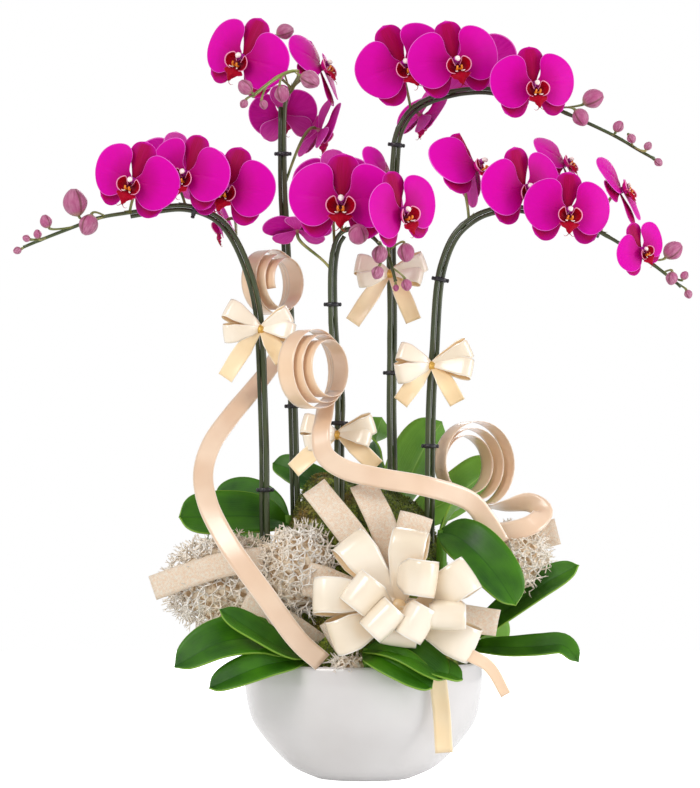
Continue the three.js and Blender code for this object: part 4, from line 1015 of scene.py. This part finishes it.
def leaf_finish(label, dark, light, rib, margin, gloss):
    """Leaf skin: cloudy green with fine fibres, its midrib in a groove and a thin margin."""
    finish, shader = material(label, gloss, Coat_Weight=0.05, Coat_Roughness=0.25, Specular_IOR_Level=0.26)
    off = off_middle(finish)
    fibre = ramp(finish, veins(finish, 60, 2), (0.35, 0), (0.68, 1))
    patch = ramp(finish, cloudy(finish, 22, 3), (0.32, 0), (0.72, 1))
    body = blend_of(finish, patch, dark, light)
    body = blend_of(finish, ramp(finish, fibre, (0, 0), (1, 0.22)), body, light)
    body = blend_of(finish, ramp(finish, off, (0.28, 0), (0.48, 0.55)), body, light)
    body = blend_of(finish, ramp(finish, off, (0.0, 0.85), (0.012, 0.3), (0.02, 0)), body, rib)
    body = blend_of(finish, ramp(finish, off, (0.486, 0), (0.499, 1)), body, margin)
    paint(finish, shader, body)
    groove = ramp(finish, off, (0.0, 0), (0.045, 1))
    height = blend_of(finish, 0.25, groove, fibre)
    bump(finish, height, 0.4, 0.0014, shader)
    return finish


leaf_top = leaf_finish("leaf_top", (0.007, 0.052, 0.003), (0.055, 0.20, 0.005), (0.014, 0.075, 0.004),
                       (0.20, 0.37, 0.035), 0.36)
leaf_under = leaf_finish("leaf_under", (0.06, 0.19, 0.012), (0.15, 0.34, 0.03), (0.26, 0.45, 0.08),
                         (0.32, 0.46, 0.06), 0.42)


def share_at(table, s):
    """The value at a place in a table of (place, value)."""
    for (s0, v0), (s1, v1) in zip(table, table[1:]):
        if s <= s1:
            t = (s - s0) / (s1 - s0)
            return v0 + (v1 - v0) * t
    return table[-1][1]


def leaf_patch(width, roll, route):
    """A strap leaf along its route, channelled and a little wavy, drawn finer towards its tip."""
    curve = smooth(route, 8)
    rows, uvs = [], []
    edges = smooth([(s, share, 0) for s, share in LEAF_SHAPE], 6)
    outline = [(p.x, max(0, p.y)) for p in edges]
    for i in range(31):
        s = 1 - (1 - i / 30) ** 1.25
        at = s * (len(curve) - 1)
        k = min(int(at), len(curve) - 2)
        p = curve[k].lerp(curve[k + 1], at - k)
        along = (curve[min(k + 2, len(curve) - 1)] - curve[max(k - 1, 0)]).normalized()
        flat = along.cross(UP).normalized()
        flat = Matrix.Rotation(math.radians(roll), 3, along) @ flat
        face = flat.cross(along)
        half = width / 2 * share_at(outline, s)
        row = []
        for c in range(11):
            v = c / 5 - 1
            channel = 0.34 * half * abs(v) ** 1.15 - 0.04 * half - 0.35 * math.exp(-(v / 0.09) ** 2)
            wave = 0.5 * v * v * math.sin(9 * s + width)
            row.append(p + flat * (half * v) + face * (channel + wave + 0.8))
        rows.append(row)
        uvs.append([(c / 10, s) for c in range(11)])
    return rows, uvs, 0


for name, (crown, blades) in LEAVES.items():
    x, y, foot, top, radius = crown
    patches = [leaf_patch(*blade) for blade in blades]
    tuft = sewn(name.replace("leaves", "foliage"), patches, [leaf_top, leaf_under])
    thicken(tuft, LEAF_GAUGE, 1)
    neck = [Vector((x, y, foot + (top - foot) * t)) for t in (0, 0.3, 0.6, 0.85, 1)]
    collar = tube_rows(neck, lambda t, r=radius: r * (1 - 0.35 * t ** 3), 14)
    stub = sewn(name + "_neck", [(*collar, 1)], [leaf_top, leaf_under])
    turned_out(stub)
    join_to(tuft, [stub])
    dress(tuft, "leaf", name)

# Peach ribbons: satin ribbon with woven edges, run up through the dressing and wound at the free
# end into a loose roll that is drawn out along its axis. roll: middle, turn of the axis to the
# right, radii, turns, draw and start angle.
RIBBON_WIDTH = 22
RIBBONS = {
    "left": {
        "tail": [
            (-44, -118, 131), (-71, -137, 157), (-105, -144, 204), (-132, -137, 240), (-151, -124, 269),
            (-166, -104, 299), (-172, -80, 331), (-164, -57, 363), (-144, -36, 394), (-121, -12, 424),
            (-102, 6, 450), (-92, 12, 470), (-88, 16, 490),
        ],
        "roll": {"middle": (-107, 4, 541), "turn": 50, "outer": 39, "inner": 25, "turns": 2.7,
                 "draw": 24, "start": -52},
    },
    "middle": {
        "tail": [
            (147, -46, 255), (132, -48, 280), (112, -64, 302), (68, -96, 316), (17, -106, 325),
            (-20, -110, 334), (-42, -110, 350), (-46, -104, 374), (-42, -90, 392),
        ],
        "roll": {"middle": (-60, -92, 440), "turn": 50, "outer": 46, "inner": 28, "turns": 3,
                 "draw": 25, "start": -50},
    },
    "right": {
        "tail": [
            (127.4, -15.4, 266), (158, -22, 268), (184, -18, 276), (197, 0, 290), (182, 14, 300),
            (156, 18, 296), (128, 20, 294),
        ],
        "roll": {"middle": (124, 16, 344), "turn": 34, "outer": 49, "inner": 28, "turns": 2.8,
                 "draw": -28, "start": -78},
    },
}


def band_patch(points, across, width, columns=6, cup=0.0):
    """A strip of cloth along points, its width along the given directions; returns its flat length
    too."""
    along = tangents(points)
    lengths = [0]
    for a, b in zip(points, points[1:]):
        lengths.append(lengths[-1] + (b - a).length)
    rows, uvs = [], []
    for i, p in enumerate(points):
        wide = (across[i] - along[i] * across[i].dot(along[i])).normalized()
        face = along[i].cross(wide)
        half = (width(i / (len(points) - 1)) if callable(width) else width) / 2
        row, line = [], []
        for k in range(columns + 1):
            v = 2 * k / columns - 1
            row.append(p + wide * (half * v) + face * (cup * half * (v * v - 0.5)))
            line.append((0.5 + 0.5 * v, lengths[i] / 100))
        rows.append(row)
        uvs.append(line)
    return (rows, uvs, 0), lengths[-1]


def cloth(name, patches, finishes, gauge):
    """Sewn strips given their thickness, with the second finish on the inner side."""
    piece = sewn(name, patches, finishes)
    thicken(piece, gauge, 0, len(finishes) - 1)
    return piece


def satin_finish(label, dark, light, edge, gloss):
    """Satin ribbon: fine threads across and along, a smooth sheen and a corded edge."""
    finish, shader = material(label, gloss, Sheen_Weight=0.2, Sheen_Roughness=0.3, Coat_Weight=0.8,
                              Coat_Roughness=0.2, Specular_IOR_Level=0.7)
    off = off_middle(finish)
    thread = ramp(finish, veins(finish, 70, 1.5), (0.3, 0), (0.7, 1))
    pick = ramp(finish, veins(finish, 2, 260), (0.3, 0), (0.7, 1))
    body = blend_of(finish, ramp(finish, cloudy(finish, 18, 2), (0.3, 0), (0.7, 1)), dark, light)
    paint(finish, shader, blend_of(finish, ramp(finish, off, (0.462, 0), (0.478, 1)), body, edge))
    height = blend_of(finish, 0.5, thread, pick)
    height = blend_of(finish, ramp(finish, off, (0.462, 0), (0.475, 1)), height, (1, 1, 1))
    bump(finish, height, 0.12, 0.0004, shader)
    return finish


peach_face = satin_finish("peach_satin", (0.74, 0.50, 0.33), (0.86, 0.65, 0.47), (0.92, 0.78, 0.64), 0.3)
# The inner side is the same satin in a warmer orange: painted bounce light where the ribbon faces itself in
# its roll.
peach_painted_warm_bounce = satin_finish("peach_painted_warm_bounce", (0.80, 0.54, 0.33), (0.88, 0.64, 0.43), (0.92, 0.76, 0.6), 0.42)

for name, ribbon in RIBBONS.items():
    tail, roll = ribbon["tail"], ribbon["roll"]
    turn = math.radians(roll["turn"])
    axis = Vector((math.sin(turn), -math.cos(turn), 0))
    out = Vector((math.cos(turn), math.sin(turn), 0))
    steps = round(roll["turns"] * 36)
    coil = []
    for i in range(steps + 1):
        s = i / steps
        a = math.radians(roll["start"]) + 2 * math.pi * roll["turns"] * s
        r = roll["outer"] + (roll["inner"] - roll["outer"]) * s
        place = Vector(roll["middle"]) + axis * (roll["draw"] * s)
        coil.append(place + out * (r * math.cos(a)) + UP * (r * math.sin(a)))
    lead = smooth(tail, 6)[:-2]
    points = [*lead, *coil]
    across = []
    for i, way in enumerate(tangents(points)):
        s = min(1, i / len(lead)) ** 3
        across.append(AWAY.cross(way).normalized() * (1 - s) + axis * s)
    patch, length = band_patch(points, across, RIBBON_WIDTH)
    strip = cloth(f"peach_ribbon_{name}", [patch], [peach_face, peach_painted_warm_bounce], 0.45)
    dress(strip, "peach_satin", f"ribbon_{name}")

# Small bows: ivory satin, four loops and two cut tails, gathered in the middle by a gold thread
# that ties them to the stem and its wire. Each: place along the stem's route, the loops' angle,
# length and width, and the tails' ends.
SMALL_BOWS = {
    "a": (3.4, [(150, 44, 22), (190, 42, 20), (26, 36, 20), (-10, 38, 20)],
          [(-150, -50, 434), (-88, -50, 452)]),
    "c": (2.15, [(164, 40, 22), (196, 38, 18), (16, 42, 22), (-12, 38, 18)],
          [(-76, -62, 334), (14, -60, 338)]),
    "d": (3.55, [(166, 40, 22), (194, 38, 18), (18, 42, 22), (-10, 38, 18)],
          [(-12, 34, 500), (56, 34, 502)]),
    "e": (2.75, [(158, 40, 20), (196, 42, 22), (24, 46, 22), (-8, 46, 22)],
          [(40, -36, 408), (102, -36, 408)]),
}

ivory_face = satin_finish("ivory_satin", (0.84, 0.71, 0.53), (0.95, 0.85, 0.70), (0.97, 0.92, 0.82), 0.22)
# The loops' inner side is the same satin in peach-orange: painted warm bounce light and shade in the bow's
# crevices.
ivory_painted_warm_bounce = satin_finish("ivory_painted_warm_bounce", (0.94, 0.68, 0.36), (0.98, 0.78, 0.50), (0.97, 0.85, 0.66), 0.4)
gold_thread, shader = material("gold_thread", 0.35, Metallic=0.35)
strands = ramp(gold_thread, veins(gold_thread, 3, 40), (0.35, 0), (0.65, 1))
paint(gold_thread, shader, blend_of(gold_thread, strands, (0.55, 0.27, 0.03), (0.95, 0.60, 0.14)))
bump(gold_thread, strands, 0.6, 0.0008, shader)


def loop_patch(knot, degrees, forward, length, width, girth, turn=0):
    """A full ribbon loop: out from the knot, round its end and back beneath, turned about its
    length."""
    a, f = math.radians(degrees), math.radians(forward)
    way = Vector((math.cos(a) * math.cos(f), -math.sin(f), math.sin(a) * math.cos(f)))
    wide = Matrix.Rotation(math.radians(turn), 3, way) @ way.cross(AWAY).normalized()
    rise = wide.cross(way).normalized()
    if rise.y > 0:
        rise = -rise
    far = length - girth
    shape = [(1, 1.0), (0.3 * far, 0.62 * girth), (0.68 * far, 0.93 * girth), (far, 1.02 * girth),
             (far + 0.72 * girth, 0.72 * girth), (length, 0), (far + 0.72 * girth, -0.72 * girth),
             (far, -0.98 * girth), (0.68 * far, -0.82 * girth), (0.3 * far, -0.5 * girth), (1, -1.4)]
    curve = smooth([knot + way * s + rise * h for s, h in shape], 5)
    last = len(curve) - 1

    def gathered(t):
        return width * min(1, 0.26 + 2.9 * min(round(t * last), last - round(t * last)) / last)

    return band_patch(curve, [-wide] * len(curve), gathered, columns=8, cup=0.05)


def facing(curve):
    """Directions across a strip that lies flat towards the viewer."""
    return [way.cross(AWAY) for way in tangents(curve)]


def tail_patch(knot, end, width, bend=None):
    """A cut tail that widens from the knot to its end, twisted a little on the way."""
    bend = bend or ((knot.x + end[0]) / 2, min(knot.y, end[1]) - 4, knot.z * 0.55 + end[2] * 0.45)
    curve = smooth([knot, bend, end], 10)
    twist = [w.normalized() + AWAY * (0.35 * math.sin(5 * i / len(curve)))
             for i, w in enumerate(facing(curve))]
    return band_patch(curve, twist, lambda t: width * (0.28 + 0.72 * min(1, t * 2.2)), 8, 0.14)


def knot_rows(middle, start, length, radius, sides):
    """A gathered knot: a plump barrel towards the viewer."""
    places = [middle + Vector((0, start + length * t, 0)) for t in (0, 0.2, 0.5, 0.8, 1)]
    return tube_rows(places, lambda t: radius * max(0.3, math.sin(math.pi * (0.15 + 0.7 * t))), sides)


for name, (at, loops, tails) in SMALL_BOWS.items():
    route = [Vector(p) for p in SPIKES[name]["route"]]
    i = int(at)
    stem_point = route[i].lerp(route[i + 1], at - i)
    way = (route[i + 1] - route[i]).normalized()
    knot = Vector((stem_point.x, stem_point.y - 10, stem_point.z))
    made = [loop_patch(knot, degrees, 10 + 5 * (k % 2), length, width, 7.5, 16 - 32 * (k % 2))
            for k, (degrees, length, width) in enumerate(loops)]
    made += [tail_patch(knot, end, 19) for end in tails]
    flat = sum(length for _, length in made)
    width = sum(w for _, _, w in loops) / len(loops)
    bow = cloth(f"ivory_bow_{name}", [patch for patch, _ in made], [ivory_face, ivory_painted_warm_bounce], 0.4)
    ball = knot_rows(knot - UP * 1.5, -4.5, 9, 5.4, 14)
    out = way.cross(AWAY).normalized()
    middle = stem_point + out * SPIKES[name]["side"] * 2.85
    turns = [hoop_patch(middle + way * rise, way, out, 8.2, 0.8, finish=0)
             for rise in (-1.6, 0, 1.6)]
    tie = sewn(f"gold_tie_{name}", [(*ball, 0), *turns], [gold_thread])
    turned_out(tie)
    dress(tie, "ivory_satin")
    dress(bow, "ivory_satin", f"small_bow_{name}")

# The big bow: wide ivory satin pulled into a dozen full loops round one knot in front of the
# moss, with a long tail over the lip and a curled peach end. Loops: angle, tilt towards the
# viewer, length, girth, turn, and how far the start lies from the knot.
BOW_KNOT = Vector((36, -128, 190))
SATIN_WIDTH = 38
SATIN_LOOPS = [
    (128, 2, 90, 17, 10, (0, 2, 0)), (80, 2, 82, 18, -8, (0, 2, 0)),
    (36, 20, 78, 17, -6, (16, 2, -6)), (334, 12, 88, 16, 6, (2, 2, -4)),
    (176, 14, 92, 16, 10, (0, 0, 6)), (204, 18, 76, 15, -8, (-4, 0, -4)),
    (352, 54, 56, 16, 0, (0, -2, 34)), (142, 40, 62, 16, 0, (-10, -2, -6)),
    (316, 70, 52, 15, 0, (-26, -2, -4)), (331, 66, 50, 15, 0, (6, -4, -8)),
    (270, 60, 48, 13, 0, (50, -4, 8)), (262, 34, 44, 13, 0, (4, 0, -2)),
]
made = [loop_patch(BOW_KNOT + Vector(start), degrees, forward, length, SATIN_WIDTH, girth, turn)
        for degrees, forward, length, girth, turn, start in SATIN_LOOPS]
curve = smooth([BOW_KNOT, (70, -122, 142), (80, -116, 92), (84, -113, 36)], 8)
made.append(band_patch(curve, facing(curve), lambda t: 19 * (0.3 + 0.7 * min(1, 3 * t)), cup=0.08))
flat = sum(length for _, length in made)
big_bow = cloth("ivory_bow_big", [patch for patch, _ in made], [ivory_face, ivory_painted_warm_bounce], 0.5)
# The knot, deep among the loops, wears the same painted warm shade.
gather = sewn("ivory_bow_gather", [(*knot_rows(BOW_KNOT, -9, 16, 9, 16), 0)], [ivory_painted_warm_bounce])
turned_out(gather)
dress(gather, "ivory_satin")
dress(big_bow, "ivory_satin", "satin_bow")
curve = smooth([BOW_KNOT, (100, -148, 146), (130, -140, 128), (148, -134, 98)], 8)
patch, length = band_patch(curve, facing(curve),
                           lambda t: 16 * (0.35 + 0.65 * min(1, 3 * t)) * (1 - 0.3 * t), cup=0.1)
wisp = cloth("peach_end", [patch], [peach_face, peach_painted_warm_bounce], 0.4)
dress(wisp, "peach_satin")

# Burlap: open-weave jute ribbon, beige, with painted shade in the holes between the threads. Three
# cut tails lie over the moss, each with its route, the direction of its width and its width, and
# loops and tails stand up behind the satin bow.
BURLAP_TAILS = {
    "left": ([(-108, -86, 239), (-150, -84, 233), (-190, -80, 221), (-226, -78, 208)], (0.35, 0.1, 1), 27),
    "front": ([(-126, -92, 198), (-98, -99, 182), (-70, -99, 164), (-42, -84, 143)], (0.7, -0.3, 1), 26),
    "right": ([(98, -14, 260), (124, 6, 263), (164, 16, 256), (214, 12, 268)], (-0.2, 0.3, 1), 30),
}
BURLAP_KNOT = Vector((30, -100, 196))
BURLAP_WIDTH = 30
WARP_THREADS = 26
WEFT_THREADS = 95

jute, shader = material("jute_weave", 0.9, Sheen_Weight=0.2)
across, along = uv_parts(jute)
warp = maths(jute, "SINE", maths(jute, "MULTIPLY", across, WARP_THREADS * 2 * math.pi))
weft = maths(jute, "SINE", maths(jute, "MULTIPLY", along, WEFT_THREADS * 2 * math.pi))
crossed = maths(jute, "ADD", maths(jute, "ADD", warp, weft), cloudy(jute, 500, 2))
crossed = maths(jute, "ADD", crossed, 0.95)
holes = ramp(jute, crossed, (0.05, 0.9), (0.25, 0))
tone = ramp(jute, cloudy(jute, 380, 2), (0.3, 0), (0.7, 1))
thread = blend_of(jute, tone, (0.95, 0.72, 0.51), (1, 0.91, 0.77))
selvage = ramp(jute, off_middle(jute), (0.465, 0), (0.48, 1))
thread = blend_of(jute, selvage, thread, (0.90, 0.74, 0.55))
# Painted shade: the holes in the weave, away from the edges, are painted dark brown for the shade seen
# through them.
gaps = maths(jute, "MULTIPLY", holes, maths(jute, "SUBTRACT", 1.0, selvage))
paint(jute, shader, blend_of(jute, gaps, thread, (0.42, 0.23, 0.12)))
bump(jute, crossed, 0.5, 0.0006, shader)

for name, (route, across_way, width) in BURLAP_TAILS.items():
    curve = smooth(route, 8)
    patch, length = band_patch(curve, [Vector(across_way)] * len(curve), width, cup=0.06)
    strip = cloth(f"jute_tail_{name}", [patch], [jute], 0.8)
    dress(strip, "burlap", f"burlap_{name}")

made = [loop_patch(BURLAP_KNOT, degrees, forward, length, BURLAP_WIDTH * 1.2, 9)
        for degrees, forward, length in ((74, -4, 94), (166, 2, 96), (212, 4, 80))]
for bend, end in (((-2, -102, 250), (-54, -92, 316)), ((24, -98, 262), (-2, -86, 320)),
                  ((86, -106, 180), (142, -100, 172))):
    made.append(tail_patch(BURLAP_KNOT, end, BURLAP_WIDTH, bend))
flat = sum(length for _, length in made)
jute_bow = cloth("jute_bow", [patch for patch, _ in made], [jute], 0.8)
dress(jute_bow, "burlap", "burlap_bow")

# Lace lichen: bleached branching twigs, stiff and white, packed round the moss as a net of joined
# twigs over a heart painted darker as the shade deep inside the tufts, with short forked tips
# standing out. Each lobe: middle, radii, hubs.
GOLDEN_ANGLE = 2.399963
THIRD_TURN = 2.0944
LACE = {
    "lace_left": [((-146, -44, 212), (66, 42, 52), 1500), ((-68, -82, 226), (42, 34, 48), 1000)],
    "lace_right": [((166, -4, 236), (36, 32, 38), 900)],
    "lace_front": [((-14, -112, 126), (22, 11, 11), 260)],
}
FIRM = ("leaves", "ribbon", "burlap", "satin", "spike", "stake")
firm_nodes = [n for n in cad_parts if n.startswith(FIRM)]
firm_points, firm_faces = [], []
for n in firm_nodes:
    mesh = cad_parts[n].data
    start = len(firm_points)
    firm_points += [v.co.copy() for v in mesh.vertices]
    firm_faces += [tuple(start + i for i in f.vertices) for f in mesh.polygons]
firm_tree = BVHTree.FromPolygons(firm_points, firm_faces)


def near_firm(p, reach):
    """Whether a point lies within reach of a firm solid that the lichen keeps clear of."""
    return firm_tree.find_nearest(p * MM, reach * MM)[0] is not None


def twig(points, faces, a, b, thick, thin):
    """A three-sided twig from a to b."""
    way = (b - a).normalized()
    side = way.orthogonal().normalized()
    other = way.cross(side)
    n = len(points)
    for p, r in ((a, thick), (b, thin)):
        for k in range(3):
            t = THIRD_TURN * k
            points.append((p + side * (r * math.cos(t)) + other * (r * math.sin(t))) * MM)
    for k in range(3):
        j = (k + 1) % 3
        faces.append((n + k, n + j, n + 3 + j, n + 3 + k))
    faces.append((n + 5, n + 4, n + 3))
    faces.append((n, n + 1, n + 2))


lichen, shader = material("lace_lichen", 0.8, Sheen_Weight=0.2)
tone = ramp(lichen, cloudy(lichen, 14, 2), (0.36, 0), (0.66, 1))
speck = ramp(lichen, cloudy(lichen, 220, 2), (0.35, 0), (0.7, 1))
pale = blend_of(lichen, speck, (0.95, 0.88, 0.78), (1, 0.98, 0.94))
warm = blend_of(lichen, speck, (0.92, 0.76, 0.56), (1, 0.92, 0.80))
paint(lichen, shader, blend_of(lichen, tone, pale, warm))
# Painted shade: the darker brown-beige of each lobe's hidden heart stands for the shade deep among the
# twigs.
lichen_shade_core = plain_finish("lichen_painted_shade", 0.95, (0.46, 0.30, 0.16), (0.94, 0.80, 0.62), 120,
                           (0.42, 0.56), 3)


def astray(way, share):
    """A direction turned at random from another."""
    stray = Vector((rng.uniform(-1, 1), rng.uniform(-1, 1), rng.uniform(-1, 1)))
    return (way + stray * share).normalized()


rng = random.Random(21)
for name, lobes in LACE.items():
    points, faces = [], []
    for middle, radii, count in lobes:
        middle, radii = Vector(middle), Vector(radii)
        hubs = []
        for i in range(count):
            z = 1 - (2 * i + 1) / count
            a = i * GOLDEN_ANGLE + rng.uniform(-0.1, 0.1)
            flat = math.sqrt(1 - z * z)
            d = Vector((flat * math.cos(a), flat * math.sin(a), z))
            depth = rng.choice((0.84, 0.94, 1.03)) + rng.uniform(-0.03, 0.03)
            hubs.append((middle + Vector(d * r for d, r in zip(d, radii)) * depth, d, depth))
        tree = KDTree(len(hubs))
        for i, (p, _, _) in enumerate(hubs):
            tree.insert(p, i)
        tree.balance()
        for i, (p, d, depth) in enumerate(hubs):
            if near_firm(p, 2.2):
                continue
            for q, j, gap in tree.find_n(p, 5)[1:]:
                if gap < 13 and (j > i or gap > 7) and not near_firm(p.lerp(q, 0.5), 2.0):
                    twig(points, faces, p, q, rng.uniform(0.8, 1.2), rng.uniform(0.6, 0.95))
            if depth > 0.98:
                way = astray(d, 0.7)
                tip = p + way * rng.uniform(4, 8)
                if not near_firm(tip, 1.5):
                    twig(points, faces, p, tip, 0.9, 0.5)
                    for _ in range(2):
                        fork = tip + astray(way, 1) * 3
                        twig(points, faces, p.lerp(tip, 0.6), fork, 0.65, 0.35)
    net = mesh_piece(f"{name}_net", points, faces, lichen)
    # Each lobe's heart: a lumpy ball inside the net in the painted shade finish.
    cores = []
    for middle, radii, _ in lobes:
        bpy.ops.mesh.primitive_uv_sphere_add(segments=32, ring_count=20, radius=1)
        core = bpy.context.object
        for vertex in core.data.vertices:
            lump = 0.80 + 0.05 * noise.noise(vertex.co * 3 + Vector(middle))
            vertex.co = (Vector(middle) + Vector(c * r for c, r in zip(vertex.co, radii)) * lump) * MM
        core.data.materials.append(lichen_shade_core)
        cores.append(core)
    heart = cores[0]
    if len(cores) > 1:
        join_to(heart, cores[1:])
    select_only(heart)
    heart.name = f"{name}_depth"
    bpy.ops.object.shade_smooth()
    dress(heart, "lichen")
    dress(net, "lichen", name)
